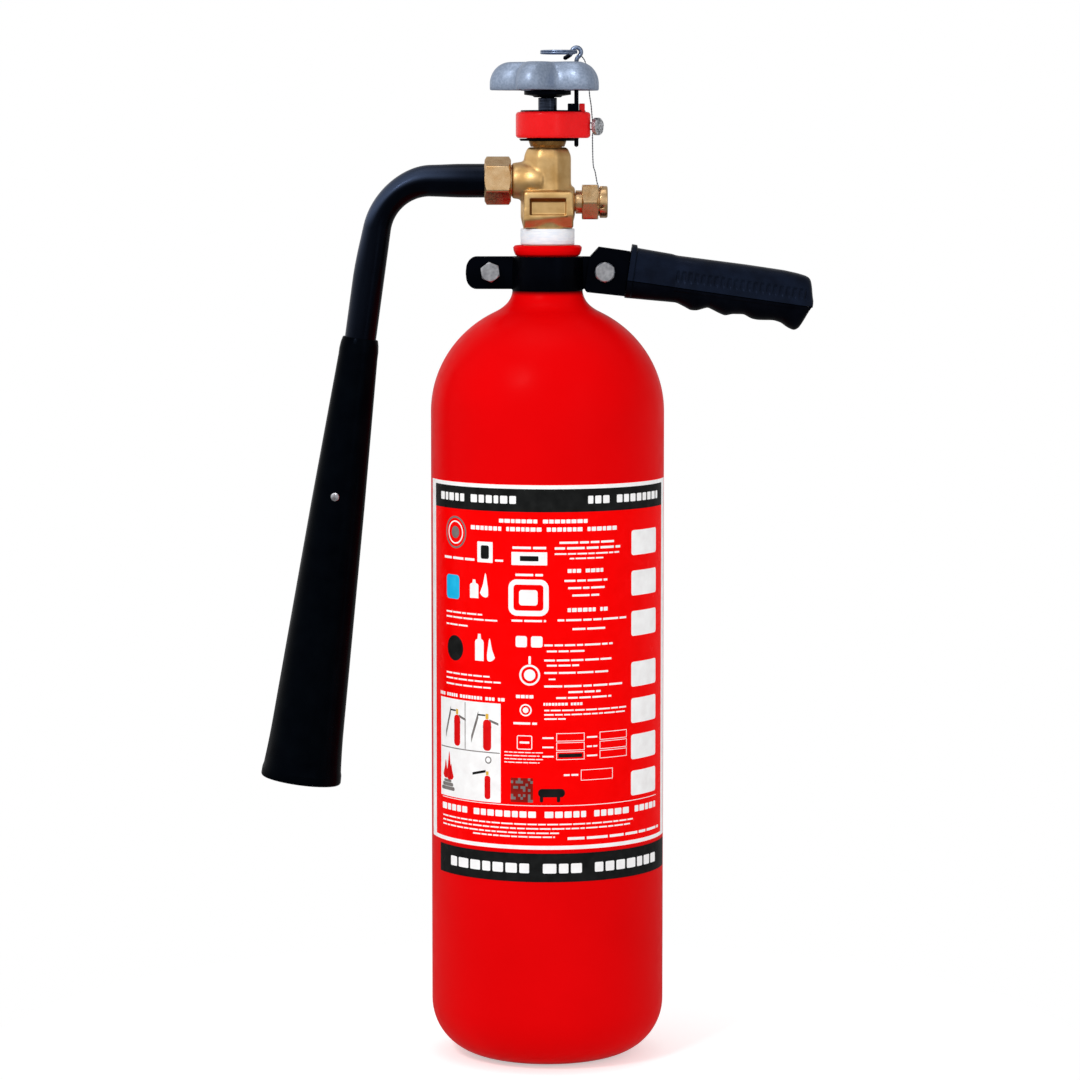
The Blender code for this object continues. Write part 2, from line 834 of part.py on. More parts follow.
def make_outlet():
    """The union nut, its washer and the bent tube with the flange that swivels in the nut."""
    nut_end, lip = -37.6, 3.0
    nut = hexagon(
        "union_nut", NUT_ACROSS_CORNERS * math.sqrt(3) / 2, nut_end, -21.8, 0.12, math.radians(8)
    )
    thread = prism("union_thread", 20, SPIGOT_R + GAP, nut_end + lip, 0)
    mouth = prism("union_mouth", 20, TUBE_R + GAP, -60, 0)
    nut = along_x(baked(cut(baked(nut), thread, mouth)))
    keep(show(nut), BRASS, axis, (0, 0, OUTLET_Z))

    washer = turned(
        "outlet_washer",
        [(5.2, SPIGOT_END_X - GAP), (10.4, SPIGOT_END_X - GAP), (10.4, -31.0), (5.2, -31.0)],
        20,
        closed=True,
    )
    keep(show(along_x(baked(washer))), FIBRE, axis, (0, 0, OUTLET_Z))

    sweep = math.pi / 2 - HORN_TILT
    leg = TUBE_BEND_R * math.tan(sweep / 2)
    down = Vector((-math.sin(HORN_TILT), -math.cos(HORN_TILT)))
    corner = Vector((TUBE_CORNER_X, 0))
    start = TUBE_CORNER_X + leg
    count = 8
    points = [(-31.3, 0), (start, 0)]
    for i in range(1, count):
        a = sweep * i / count
        points.append((start - TUBE_BEND_R * math.sin(a), -TUBE_BEND_R * (1 - math.cos(a))))
    reach = HORN_TOP / math.cos(HORN_TILT) + HORN_INSERT
    points += [tuple(corner + down * leg), tuple(corner + down * reach)]
    tube = baked(
        wire("discharge_tube", [(x, 0, z) for x, z in points], TUBE_R, 4, caps=False)
    )
    wall = tube.modifiers.new("wall", "SOLIDIFY")
    wall.thickness = TUBE_WALL * MM
    wall.offset = -1
    tube = baked(tube)
    flange = along_x(
        baked(
            turned(
                "tube_flange",
                [(8.4, -31.3), (SPIGOT_R, -31.3), (SPIGOT_R, -34.2), (8.4, -34.2)],
                20,
                closed=True,
            )
        )
    )
    keep(finish(join(tube, flange)), BLACK_STEEL, swivel)


def horn_outer(s):
    """The horn's outer radius at a distance from its top, with the flared and beaded mouth."""
    flare = 1.2 * max(0.0, (s - 235) / (HORN_LENGTH - 235)) ** 2
    return 12.4 + (22.3 - 12.4) * max(0.0, s - 11) / (250 - 11) + flare


def make_horn():
    stations = [11, 235, 250, 262]
    lip = HORN_LENGTH
    outer = [(10.2, 0), (11.3, -1.0), (11.9, -3.0)]
    outer += [(horn_outer(s), -s) for s in stations]
    outer += [(24.0, -(lip - 6.0)), (24.3, -(lip - 3.5)), (24.0, -(lip - 0.8)), (23.2, -lip)]
    inner = [(horn_outer(s) - HORN_WALL, -s) for s in (268.5, 250, 235, 16)]
    throat = TUBE_R + GAP
    profile = outer + inner + [(throat, -14), (throat, 0)]
    horn = turned("horn", profile, 24, closed=True)
    screw_at = 97.6
    hole = along_y(prism("horn_screw_hole", 12, 1.9, 5, 25))
    move(hole, shift(0, 0, -screw_at))
    keep(finish(cut(baked(horn), hole)), BLACK_PLASTIC, horn_frame)

    spacer = turned(
        "horn_spacer",
        [
            (throat, -91.0),
            (horn_outer(91) - HORN_WALL - GAP, -91.0),
            (horn_outer(103) - HORN_WALL - GAP, -103.0),
            (throat, -103.0),
        ],
        20,
        closed=True,
    )
    pilot = move(along_y(prism("spacer_hole", 12, 1.9, 5, 25)), shift(0, 0, -screw_at))
    keep(finish(cut(baked(spacer), pilot)), BLACK_PLASTIC, horn_frame)

    face = horn_outer(screw_at)
    screw = turned(
        "horn_screw",
        [
            (0, face + 2.1),
            (1.8, face + 1.9),
            (3.2, face + 1.1),
            (3.7, face + GAP),
            (1.6, face + GAP),
            (1.6, 10.2),
            (0, 10.2),
        ],
        12,
    )
    keep(show(along_y(baked(screw))), ZINC, horn_frame, (0, 0, -screw_at))

    nozzle = turned(
        "discharge_nozzle",
        [
            (2.2, -88.0),
            (7.0, -88.0),
            (7.0, -103.8),
            (6.8, -107.0),
            (5.4, -109.0),
            (2.2, -109.0),
        ],
        16,
        closed=True,
    )
    keep(show(nozzle), BRASS, horn_frame)


# ---------------------------------------------------------------- neck clamp


def strap_path(inner_r, left, right):
    """An ear, a bend on to the neck, half a turn round it, and the same again on the other side."""
    fillet = 4.0
    centre_x = math.sqrt((inner_r + fillet) ** 2 - (EAR_GAP + fillet) ** 2)
    centre_y = EAR_GAP + fillet
    lean = math.degrees(math.atan2(centre_y, centre_x))
    return [
        (left, -EAR_GAP),
        *arc((-centre_x, -centre_y), fillet, 90, lean, 3),
        *arc((0, 0), inner_r, 180 + lean, 360 - lean, 11)[1:-1],
        *arc((centre_x, -centre_y), fillet, 180 - lean, 90, 3),
        (right, -EAR_GAP),
    ]


def make_strap(name, spin, left, right):
    """Half of the clamp: a flat bar bent round the neck, with two drilled ears."""
    path = strap_path(NECK_WAIST_R + GAP, left, right)
    low, high = -CLAMP_HEIGHT / 2 * MM, CLAMP_HEIGHT / 2 * MM
    points = [(x * MM, y * MM, z) for z in (low, high) for x, y in path]
    count = len(path)
    faces = [(i, i + 1, count + i + 1, count + i) for i in range(count - 1)]
    mesh = bpy.data.meshes.new(name)
    mesh.from_pydata(points, [], faces)
    strap = new_object(name, mesh)
    wall = strap.modifiers.new("bar", "SOLIDIFY")
    wall.thickness = STRAP * MM
    wall.offset = 1
    strap = baked(strap)
    rounded = block("strap_ends", (left, -40, -CLAMP_HEIGHT / 2), (right, 0, CLAMP_HEIGHT / 2))
    ends = rounded.modifiers.new("ends", "BEVEL")
    ends.width = 6.5 * MM
    ends.segments = 4
    ends.limit_method = "WEIGHT"
    weights = rounded.data.attributes.new("bevel_weight_edge", "FLOAT", "EDGE")
    for edge in rounded.data.edges:
        a, b = (rounded.data.vertices[v].co for v in edge.vertices)
        weights.data[edge.index].value = 1.0 if abs(a.y - b.y) > 10 * MM else 0.0
    boolean(strap, baked(rounded), "INTERSECT")
    for x in (-CLAMP_BOLT_X, CLAMP_BOLT_X):
        hole = move(along_y(prism("strap_hole", 12, 4.3, -2, 12)), shift(x, 0, 0))
        cut(strap, hole)
    strap = finish(strap)
    move(strap, turn(spin, "Z"))
    keep(strap, BLACK_STEEL, axis, (0, 0, CLAMP_Z))


def make_bolt(name, x, head_face, tail):
    """A hexagon bolt along Y with its head in front."""
    bolt = hexagon(name, 12.6, head_face, head_face + 5.0)
    shank = prism(name + "_shank", 12, 4.0, -tail, head_face + 1)
    bolt = join(baked(bolt), shank)
    keep(show(along_y(baked(bolt))), ZINC, axis, (x, 0, CLAMP_Z))


def make_nut(name, x, face):
    nut = hexagon(name, 12.6, -face - 6.0, -face)
    hole = prism(name + "_bore", 12, 4.0 + GAP, -60, 0)
    keep(show(along_y(baked(cut(baked(nut), hole)))), ZINC, axis, (x, 0, CLAMP_Z))


def make_clamp():
    make_strap("clamp_front_strap", 0.0, CLAMP_LEFT_X, CLAMP_RIGHT_X)
    make_strap("clamp_rear_strap", math.pi, -CLAMP_RIGHT_X, -CLAMP_LEFT_X)
    near = EAR_GAP + STRAP + GAP
    make_bolt("clamp_bolt_left", -CLAMP_BOLT_X, near, 14.5)
    make_nut("clamp_nut_left", -CLAMP_BOLT_X, near)
    far = CHEEK_OUTER + 2 * GAP
    make_bolt("clamp_bolt_right", CLAMP_BOLT_X, far, 18.5)
    make_nut("clamp_nut_right", CLAMP_BOLT_X, far)
    for name, sign in (("pivot_bush_front", 1), ("pivot_bush_rear", -1)):
        low, high = sorted((sign * near, sign * (CHEEK_OUTER + GAP)))
        bush = turned(
            name, [(4.3, high), (6.0, high), (6.0, low), (4.3, low)], 16, closed=True
        )
        keep(show(along_y(baked(bush))), STEEL, axis, (CLAMP_BOLT_X, 0, CLAMP_Z))


# ---------------------------------------------------------------- carrying handle


def make_bracket():
    """The forked bracket that straddles the clamp, with the tang that the grip is screwed to."""
    outline = [
        (-10.4, -12.0),
        (-9.0, -13.4),
        (13.6, -12.6),
        (13.6, 14.3),
        (-5.6, 14.3),
        (-10.4, 7.2),
    ]
    fork = plate("handle_bracket", outline, 2 * CHEEK_OUTER)
    move(fork, turn(math.pi / 2, "X"))
    tang = block("handle_tang", (10, -2.5, -9), (112, 2.5, 5))
    slot = block("fork_slot", (-20, -CHEEK_INNER, -30), (11.2, CHEEK_INNER, 30))
    bolt_hole = along_y(prism("pivot_hole", 16, 6.3, -30, 30))
    slopes = []
    for side in (-1, 1):
        slope = block(f"fork_slope_{side}", (-30, 0, -3), (30, 10, 20))
        lean = turn(math.radians(24), "X")
        move(slope, lean)
        move(slope, shift(0, CHEEK_OUTER - 0.05, 8.35))
        if side < 0:
            move(slope, turn(math.pi, "Z"))
        slopes.append(slope)
    join(fork, tang)
    cut(fork, slot, bolt_hole, *slopes)
    for i, u in enumerate(GRIP_SCREWS):
        hole = move(prism(f"tang_hole_{i}", 8, 2.3, -20, 20), shift(u, 0, 0))
        cut(fork, hole)
    keep(finish(fork), BLACK_STEEL, handle_pivot, smooth=35)


def grip_top(u):
    """Height of the grip's top line: a raised collar, a straight back and a rounded end."""
    body = 15.9 - (u - GRIP_START) / (GRIP_END - GRIP_START) * 2.7
    collar = blend(1.6, 0.0, (u - 18.6) / 1.2)
    fall = max(0.0, (u - 112.0) / (GRIP_END - 112.0))
    return (body + collar - SEAM_W) * (1 - fall**2.6 * 0.42) + SEAM_W


def grip_bottom(u):
    """Height of the underside: three finger rises and the knob at the end."""
    line = -12.8 - 2.6 * (u - 30) / 90
    ripple = 0.0
    for middle, height, width in ((51, 1.6, 8), (74, 1.6, 9), (95, 1.2, 9), (114.5, 2.6, 6.5)):
        ripple += height * math.exp(-(((u - middle) / width) ** 2))
    fall = max(0.0, (u - 116.0) / (GRIP_END - 116.0))
    return (line - ripple - SEAM_W) * (1 - fall**2 * 0.62) + SEAM_W


def grip_width(u):
    """Half the grip's width: a collar, a slimmer neck, a full palm and a rounded end."""
    palm = blend(12.2, 13.6, (u - 40) / 14)
    collar = blend(1.6, 0.0, (u - 18.6) / 1.2)
    fall = max(0.0, (u - 110.0) / (GRIP_END - 110.0))
    return (palm + collar) * (1 - fall**3 * 0.4)


def grip_half(name, height, stations, power, seam):
    """One moulded half: a lofted shell, closed at its end and open at the seam and the collar."""
    around = 8
    shape = bmesh.new()
    rows = []
    for u in stations:
        row = []
        for i in range(around + 1):
            a = math.pi * i / around
            side = math.copysign(abs(math.cos(a)) ** power, math.cos(a))
            y = grip_width(u) * side
            w = seam + (height(u) - seam) * math.sin(a) ** power
            row.append(shape.verts.new((u * MM, y * MM, w * MM)))
        rows.append(row)
    for first, second in zip(rows, rows[1:]):
        for i in range(around):
            shape.faces.new((first[i], second[i], second[i + 1], first[i + 1]))
    shape.faces.new(rows[-1])
    bmesh.ops.recalc_face_normals(shape, faces=shape.faces)
    if rows[0][around // 2].link_faces[0].normal.z * (height(stations[0]) - seam) < 0:
        bmesh.ops.reverse_faces(shape, faces=shape.faces)
    mesh = bpy.data.meshes.new(name)
    shape.to_mesh(mesh)
    shape.free()
    half = new_object(name, mesh)
    wall = half.modifiers.new("wall", "SOLIDIFY")
    wall.thickness = 2.4 * MM
    wall.offset = -1
    wall.use_even_offset = True
    return baked(half)


def make_grip():
    neck = [GRIP_START, 18.6, 19.8, 40, 47]
    palm = [54, 80, 110, 114.5, 118.5, 121.5, 123.5, GRIP_END]
    fingers = [51, 56, 62.5, 68, 74, 80, 85, 90, 95, 101, 107, 111, 114.5, 118, 121, GRIP_END]
    upper = grip_half("grip_upper", grip_top, neck + palm, 0.62, SEAM_W + GAP)
    lower = grip_half("grip_lower", grip_bottom, neck[:-1] + fingers, 0.7, SEAM_W - GAP)
    for i, u in enumerate(GRIP_SCREWS):
        back, belly = grip_top(u), grip_bottom(u)
        post = move(prism(f"grip_post_{i}", 8, 5.0, 5.0 + GAP, back - 1.2), shift(u, 0, 0))
        pilot = move(prism(f"grip_pilot_{i}", 8, 1.9, 0, 11.0), shift(u, 0, 0))
        cut(join(upper, post), pilot)
        foot = move(prism(f"grip_foot_{i}", 8, 5.0, belly + 1.2, -9.0 - GAP), shift(u, 0, 0))
        way = move(prism(f"grip_way_{i}", 8, 2.3, -30, 0), shift(u, 0, 0))
        sink = move(prism(f"grip_sink_{i}", 10, 3.6, -30, belly + 2.4), shift(u, 0, 0))
        cut(join(lower, foot), way, sink)
        seat = belly + 2.4
        profile = [
            (0, 9.0),
            (1.6, 9.0),
            (1.6, seat - GAP),
            (3.2, seat - GAP),
            (2.6, seat - 1.9),
            (0, seat - 1.9),
        ]
        screw = turned(f"grip_screw_{i + 1}", profile, 12)
        keep(show(screw), ZINC, handle_pivot, (u, 0, 0))
    keep(finish(upper), BLACK_PLASTIC, handle_pivot, smooth=40)
    keep(finish(lower), BLACK_PLASTIC, handle_pivot, smooth=40)


make_cylinder()
make_valve_body()
make_dip_tube()
make_relief()
make_bonnet()
make_spindle()
make_handwheel()
make_guard()
make_pin()
make_seal()
make_outlet()
make_horn()
make_clamp()
make_bracket()
make_grip()
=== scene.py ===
import json
import math

import bmesh
import bpy
import numpy as np
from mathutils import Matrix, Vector


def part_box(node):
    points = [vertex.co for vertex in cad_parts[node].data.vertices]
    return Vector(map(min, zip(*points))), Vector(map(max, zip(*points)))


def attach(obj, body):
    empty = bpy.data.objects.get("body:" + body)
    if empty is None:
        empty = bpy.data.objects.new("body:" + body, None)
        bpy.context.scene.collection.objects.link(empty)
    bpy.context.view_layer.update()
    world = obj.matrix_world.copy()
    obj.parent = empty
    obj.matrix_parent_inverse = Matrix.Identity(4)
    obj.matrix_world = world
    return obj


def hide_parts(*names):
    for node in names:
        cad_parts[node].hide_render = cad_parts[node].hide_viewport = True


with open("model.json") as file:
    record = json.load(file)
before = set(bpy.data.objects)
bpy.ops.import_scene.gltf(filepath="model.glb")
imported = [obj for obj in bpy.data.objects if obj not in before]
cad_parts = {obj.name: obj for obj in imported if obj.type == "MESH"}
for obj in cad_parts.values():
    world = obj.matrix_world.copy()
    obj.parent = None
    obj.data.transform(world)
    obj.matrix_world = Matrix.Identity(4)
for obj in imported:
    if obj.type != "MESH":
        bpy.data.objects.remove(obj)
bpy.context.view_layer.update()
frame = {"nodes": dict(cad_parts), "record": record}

record = frame["record"]
mm = 0.001
turnAll = 2 * math.pi
shellLow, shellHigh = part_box("cylinder_shell")
axisPlace = np.array([(shellLow.x + shellHigh.x) / 2, (shellLow.y + shellHigh.y) / 2, 0.0])


def span(node):
    # The node's two corners in millimetres, measured from the cylinder's axis on the floor.
    low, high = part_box(node)
    return (np.array(low) - axisPlace) / mm, (np.array(high) - axisPlace) / mm


print("frame loaded:", len(frame["nodes"]), "nodes")

# shapes are worked out as arrays, in millimetres from the cylinder's axis on the floor


def newObject(name, data):
    # A mesh, a camera or a lamp, put into the scene.
    made = bpy.data.objects.new(name, data)
    bpy.context.scene.collection.objects.link(made)
    return made


def solid(name, points, faces, merge=True, smooth=35):
    # Puts points (millimetres) and faces into a mesh, closes its seams and poles,
    # and turns its faces outwards.
    mesh = bpy.data.meshes.new(name)
    mesh.from_pydata(np.asarray(points) * mm + axisPlace, [], faces)
    if merge:
        shape = bmesh.new()
        shape.from_mesh(mesh)
        bmesh.ops.remove_doubles(shape, verts=shape.verts, dist=2e-7)
        bmesh.ops.dissolve_degenerate(shape, edges=shape.edges, dist=1e-8)
        bmesh.ops.recalc_face_normals(shape, faces=shape.faces)
        shape.to_mesh(mesh)
        shape.free()
    mesh.shade_smooth()
    mesh.set_sharp_from_angle(angle=math.radians(smooth))
    return newObject(name, mesh)


def gridFaces(rows, columns, wrapRows=False, wrapColumns=False):
    # Four neighbours of a grid make one face; a wrapped direction joins its end to its start.
    i, j = np.meshgrid(
        np.arange(rows if wrapRows else rows - 1),
        np.arange(columns if wrapColumns else columns - 1),
        indexing="ij",
    )
    k, n = (i + 1) % rows, (j + 1) % columns
    corners = [i * columns + j, k * columns + j, k * columns + n, i * columns + n]
    return np.stack(corners, -1).reshape(-1, 4).tolist()


def gridSolid(name, grid, wrapRows=False, wrapColumns=False, capEnds=False, smooth=35):
    # A surface from a grid of points; capEnds closes the first and last row with one face each.
    rows, columns = grid.shape[:2]
    faces = gridFaces(rows, columns, wrapRows, wrapColumns)
    if capEnds:
        faces.append(list(range(columns)))
        faces.append(list(range((rows - 1) * columns, rows * columns)))
    return solid(name, grid.reshape(-1, 3), faces, smooth=smooth)


def rounded(corners, steps=4):
    # A closed or open outline of (a, b, radius): each corner becomes an arc that touches
    # both of its sides, and a radius of 0 keeps the corner sharp.
    corners = [np.array(c, float) for c in corners]
    made = []
    for i, corner in enumerate(corners):
        radius = corner[2]
        if radius <= 0:
            made.append(corner[:2])
            continue
        before = corners[i - 1][:2] - corner[:2]
        after = corners[(i + 1) % len(corners)][:2] - corner[:2]
        toBefore, toAfter = before / np.linalg.norm(before), after / np.linalg.norm(after)
        half = math.acos(np.clip(toBefore @ toAfter, -1, 1)) / 2
        reach = radius / math.tan(half)
        middle = toBefore + toAfter
        centre = corner[:2] + middle / np.linalg.norm(middle) * radius / math.sin(half)
        start = corner[:2] + toBefore * reach - centre
        end = corner[:2] + toAfter * reach - centre
        share = np.linspace(0, 1, steps + 1)[:, None]
        chord = start * (1 - share) + end * share
        made.extend(centre + chord / np.linalg.norm(chord, axis=1)[:, None] * radius)
    return np.array(made)


def ease(t):
    # Rises from 0 to 1 as t does, slowly at both ends.
    t = np.clip(t, 0, 1)
    return t * t * (3 - 2 * t)


def unit(vectors):
    # Each vector at a length of 1.
    return vectors / np.linalg.norm(vectors, axis=-1, keepdims=True)


def alongPath(path):
    # How far along a path each of its points lies.
    return np.concatenate([[0], np.cumsum(np.linalg.norm(np.diff(path, axis=0), axis=1))])


def evenTurns(steps):
    # Even angles round a full circle.
    return np.arange(steps) * turnAll / steps


def polar(radius, angle, height):
    # Points at a radius and an angle about Z, each at its height.
    x, y = radius * np.cos(angle), radius * np.sin(angle)
    return np.stack([x, y, np.broadcast_to(height, x.shape)], -1)


def placed(points, direction="z", centre=(0, 0, 0)):
    # Points made about Z, laid along +X or -Y and moved to their centre.
    x, y, z = points[..., 0], points[..., 1], points[..., 2]
    laid = {"z": (x, y, z), "x": (z, y, -x), "front": (x, -z, y)}[direction]
    return np.stack(laid, -1) + np.array(centre, float)


def turnedGrid(profile, steps):
    # Each (radius, height) of the profile carried round a full circle.
    profile = np.asarray(profile, float)
    return polar(profile[:, :1], evenTurns(steps), profile[:, 1:])


def turned(name, profile, steps=96, direction="z", centre=(0, 0, 0), closed=False):
    # closed: the profile is a ring's section. Otherwise it starts and ends on the axis.
    grid = placed(turnedGrid(profile, steps), direction, centre)
    return gridSolid(name, grid, wrapRows=closed, wrapColumns=True)


def tubeGrid(path, radius, sides, across=(0, 1, 0)):
    # A circle carried along a path; across is a direction that the path never takes.
    path, across = np.asarray(path, float), np.array(across, float)
    ahead = unit(np.gradient(path, axis=0))
    side = unit(across - (ahead @ across)[:, None] * ahead)
    upward = np.cross(ahead, side)
    angle = evenTurns(sides)[:, None]
    size = np.broadcast_to(np.asarray(radius, float), (len(path),))[:, None, None]
    circle = side[:, None] * np.cos(angle) + upward[:, None] * np.sin(angle)
    return path[:, None] + circle * size


def smoothPath(points, spacing):
    # A curve through given points (Catmull-Rom), read at even steps.
    points = np.asarray(points, float)
    full = np.vstack([2 * points[0] - points[1], points, 2 * points[-1] - points[-2]])
    pieces = []
    share = np.linspace(0, 1, 24, endpoint=False)[:, None]
    for a, b, c, d in zip(full, full[1:], full[2:], full[3:]):
        curve, swing = 2 * a - 5 * b + 4 * c - d, 3 * b - a - 3 * c + d
        pieces.append(0.5 * (2 * b + (c - a) * share + curve * share**2 + swing * share**3))
    fine = np.vstack([*pieces, points[-1:]])
    along = alongPath(fine)
    reads = np.linspace(0, along[-1], max(4, int(along[-1] / spacing)))
    return np.stack([np.interp(reads, along, fine[:, k]) for k in range(3)], -1)


def barRadius(angle, across, sides=6, sharpness=40):
    # A flat-sided bar's radius by angle: the sum of its flats' cosines, raised to a high power,
    # rounds the corners a little, as a rolled bar has them.
    faces = np.cos(angle[..., None] - evenTurns(sides)) / (across / 2)
    return (np.clip(faces, 0, None) ** sharpness).sum(-1) ** (-1 / sharpness)


def hexBar(name, across, low, high, bore=0.0, spin=0.0, direction="z", centre=(0, 0, 0),
           steps=180, lowCone=True):
    # A hexagon bar whose ends are turned off to a cone: at each height the radius is the smaller
    # of the hexagon's and the cone's. Without its cone the low end only has a small edge.
    angle = evenTurns(steps)
    coneSlope, coneStart = 0.62, across / 2 * 0.97
    outwards = np.linspace(0, 1, 9) * (across / math.sqrt(3) - coneStart)
    cone = np.stack([outwards * coneSlope, coneStart + outwards], -1)
    edge = np.array([[0, -0.25], [0.075, -0.075], [0.25, 0]]) + (0, across / math.sqrt(3))
    rows = np.vstack([(cone if lowCone else edge) + (low, 0), (cone * (-1, 1))[::-1] + (high, 0)])
    radius = np.minimum(barRadius(angle - spin, across)[None], rows[:, 1:])
    core = turnedGrid([(bore, low), (bore, high)], steps)
    grid = np.concatenate([core[:1], polar(radius, angle, rows[:, :1]), core[1:]])
    made = placed(grid, direction, centre)
    return gridSolid(name, made, wrapRows=bool(bore), wrapColumns=True, smooth=28)


def aboutY(points, tilt, centre):
    # Turns points (u, y, w) of a tilted frame about Y and moves them to their centre.
    u, y, w = points[..., 0], points[..., 1], points[..., 2]
    c, s = math.cos(tilt), math.sin(tilt)
    return np.stack([u * c + w * s, y, w * c - u * s], -1) + np.array(centre, float)


def meshFrom(name, shape):
    # Puts a finished bmesh into a mesh of its own.
    mesh = bpy.data.meshes.new(name)
    shape.to_mesh(mesh)
    shape.free()
    return mesh


def merged(name, objects):
    # Several meshes of one piece, kept as one object.
    shape = bmesh.new()
    for obj in objects:
        shape.from_mesh(obj.data)
        bpy.data.objects.remove(obj, do_unlink=True)
    return newObject(name, meshFrom(name, shape))


def settle(obj):
    # Bakes an object's modifiers into its mesh.
    bpy.context.view_layer.update()
    graph = bpy.context.evaluated_depsgraph_get()
    mesh = bpy.data.meshes.new_from_object(obj.evaluated_get(graph))
    obj.modifiers.clear()
    obj.data = mesh
    return obj


def carve(obj, *cutters):
    # Cuts closed shapes out of a closed piece.
    for cutter in cutters:
        cut = obj.modifiers.new("cut", "BOOLEAN")
        cut.operation, cut.solver, cut.object = "DIFFERENCE", "EXACT", cutter
        settle(obj)
        bpy.data.objects.remove(cutter, do_unlink=True)
    return obj


def moved(obj, rule):
    # Moves a mesh's points by a rule that takes and gives millimetres.
    places = np.array([point.co for point in obj.data.vertices])
    places = rule((places - axisPlace) / mm) * mm + axisPlace
    obj.data.vertices.foreach_set("co", places.astype(np.float32).ravel())
    return obj


def softEdges(obj, width, segments, angle=30):
    # Rounds off every edge that is sharper than the angle.
    made = obj.modifiers.new("edges", "BEVEL")
    made.width, made.segments = width * mm, segments
    made.limit_method, made.angle_limit = "ANGLE", math.radians(angle)
    made.harden_normals = True
    return obj


def nodeCopy(node, name, edge, segments, angle):
    # A copy of a CAD node's surface, with its loose triangles merged into real faces and its
    # edges rounded off.
    shape = bmesh.new()
    shape.from_mesh(frame["nodes"][node].data)
    bmesh.ops.remove_doubles(shape, verts=shape.verts, dist=2e-6)
    bmesh.ops.dissolve_limit(
        shape, angle_limit=math.radians(1.0), verts=shape.verts, edges=shape.edges
    )
    mesh = meshFrom(name, shape)
    mesh.shade_smooth()
    mesh.set_sharp_from_angle(angle=math.radians(angle))
    return softEdges(newObject(name, mesh), edge, segments, angle)


def keepOnPoints(obj, name, rule):
    # Keeps at each point a number from 0 to 1, worked out from its place and normal, for the
    # finish to read.
    mesh = obj.data
    places, normals = np.empty(len(mesh.vertices) * 3), np.empty(len(mesh.vertices) * 3)
    mesh.vertices.foreach_get("co", places)
    mesh.vertex_normals.foreach_get("vector", normals)
    places, normals = (places.reshape(-1, 3) - axisPlace) / mm, normals.reshape(-1, 3)
    values = np.clip(rule(places, normals), 0, 1).astype(np.float32)
    mesh.attributes.new(name, "FLOAT", "POINT").data.foreach_set("value", values)


def give(obj, material, body, stands=()):
    # A piece gets its finish, its body, its slot and the CAD nodes that it stands for.
    obj.data.materials.clear()
    obj.data.materials.append(material)
    for node in stands:
        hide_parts(node)
    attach(obj, body)


# finishes


def linear(code):
    # An sRGB hex colour as the linear one that the shader takes.
    values = np.array([int(code[i : i + 2], 16) for i in (0, 2, 4)]) / 255
    low = values / 12.92
    high = ((values + 0.055) / 1.055) ** 2.4
    return (*np.where(values <= 0.04045, low, high), 1.0)


def addNode(tree, kind, values=(), links=(), **settings):
    # Adds a node: settings are its own options, values its unlinked inputs, links its inputs
    # from other nodes' outputs.
    made = tree.nodes.new(kind)
    for key, value in settings.items():
        setattr(made, key, value)
    for key, value in dict(values).items():
        made.inputs[key].default_value = value
    for key, output in dict(links).items():
        tree.links.new(output, made.inputs[key])
    return made


def finish(name, colour, roughness, metallic=0.0, gloss=0.5, sheen="FFFFFF", clouds=None,
           patches=None, relief=(), mark=None):
    # A Principled finish. clouds: a grain and the two colours it runs between. patches: a grain
    # and two roughnesses. relief: layers of a grain and its height in millimetres, laid one over
    # the other. mark: the mesh's own numbers that say where another colour lies, and its colour.
    material = bpy.data.materials.new(name)
    material.use_nodes = True
    tree = material.node_tree
    shader = tree.nodes["Principled BSDF"]
    constants = {
        "Base Color": linear(colour), "Roughness": roughness, "Metallic": metallic,
        "Specular IOR Level": gloss, "Specular Tint": linear(sheen),
    }
    for key, value in constants.items():
        shader.inputs[key].default_value = value
    place = addNode(tree, "ShaderNodeTexCoord").outputs["Object"]
    if clouds:
        pattern, dark, light, *ends = clouds
        ramp = addNode(tree, "ShaderNodeValToRGB", (), {"Fac": grain(tree, place, *pattern)})
        for stop, code, at in zip(ramp.color_ramp.elements, (dark, light), ends or (0.3, 0.7)):
            stop.position, stop.color = at, linear(code)
        shown = ramp.outputs["Color"]
        if mark:
            where = addNode(tree, "ShaderNodeAttribute", attribute_name=mark[0]).outputs["Fac"]
            links = {"Factor": where, "A": shown}
            mixed = addNode(tree, "ShaderNodeMix", {"B": linear(mark[1])}, links, data_type="RGBA")
            shown = mixed.outputs["Result"]
        tree.links.new(shown, shader.inputs["Base Color"])
    if patches:
        pattern, low, high = patches
        spread = {"From Min": 0.3, "From Max": 0.7, "To Min": low, "To Max": high}
        links = {"Value": grain(tree, place, *pattern)}
        worn = addNode(tree, "ShaderNodeMapRange", spread, links)
        tree.links.new(worn.outputs["Result"], shader.inputs["Roughness"])
    links = {}
    for pattern, height in relief:
        links["Height"] = grain(tree, place, *pattern)
        values = {"Strength": 1.0, "Distance": height * mm}
        links["Normal"] = addNode(tree, "ShaderNodeBump", values, links).outputs["Normal"]
    if relief:
        tree.links.new(links["Normal"], shader.inputs["Normal"])
    return material


def grain(tree, place, size, detail, roughness=0.5, stretch=(1, 1, 1), distortion=0.0):
    # Noise whose lumps are about `size` millimetres across.
    scale = {"Scale": tuple(s / (size * mm) for s in stretch)}
    scaled = addNode(tree, "ShaderNodeMapping", scale, {"Vector": place}).outputs["Vector"]
    values = {"Scale": 1.0, "Detail": detail, "Roughness": roughness, "Distortion": distortion}
    return addNode(tree, "ShaderNodeTexNoise", values, {"Vector": scaled}).outputs["Fac"]


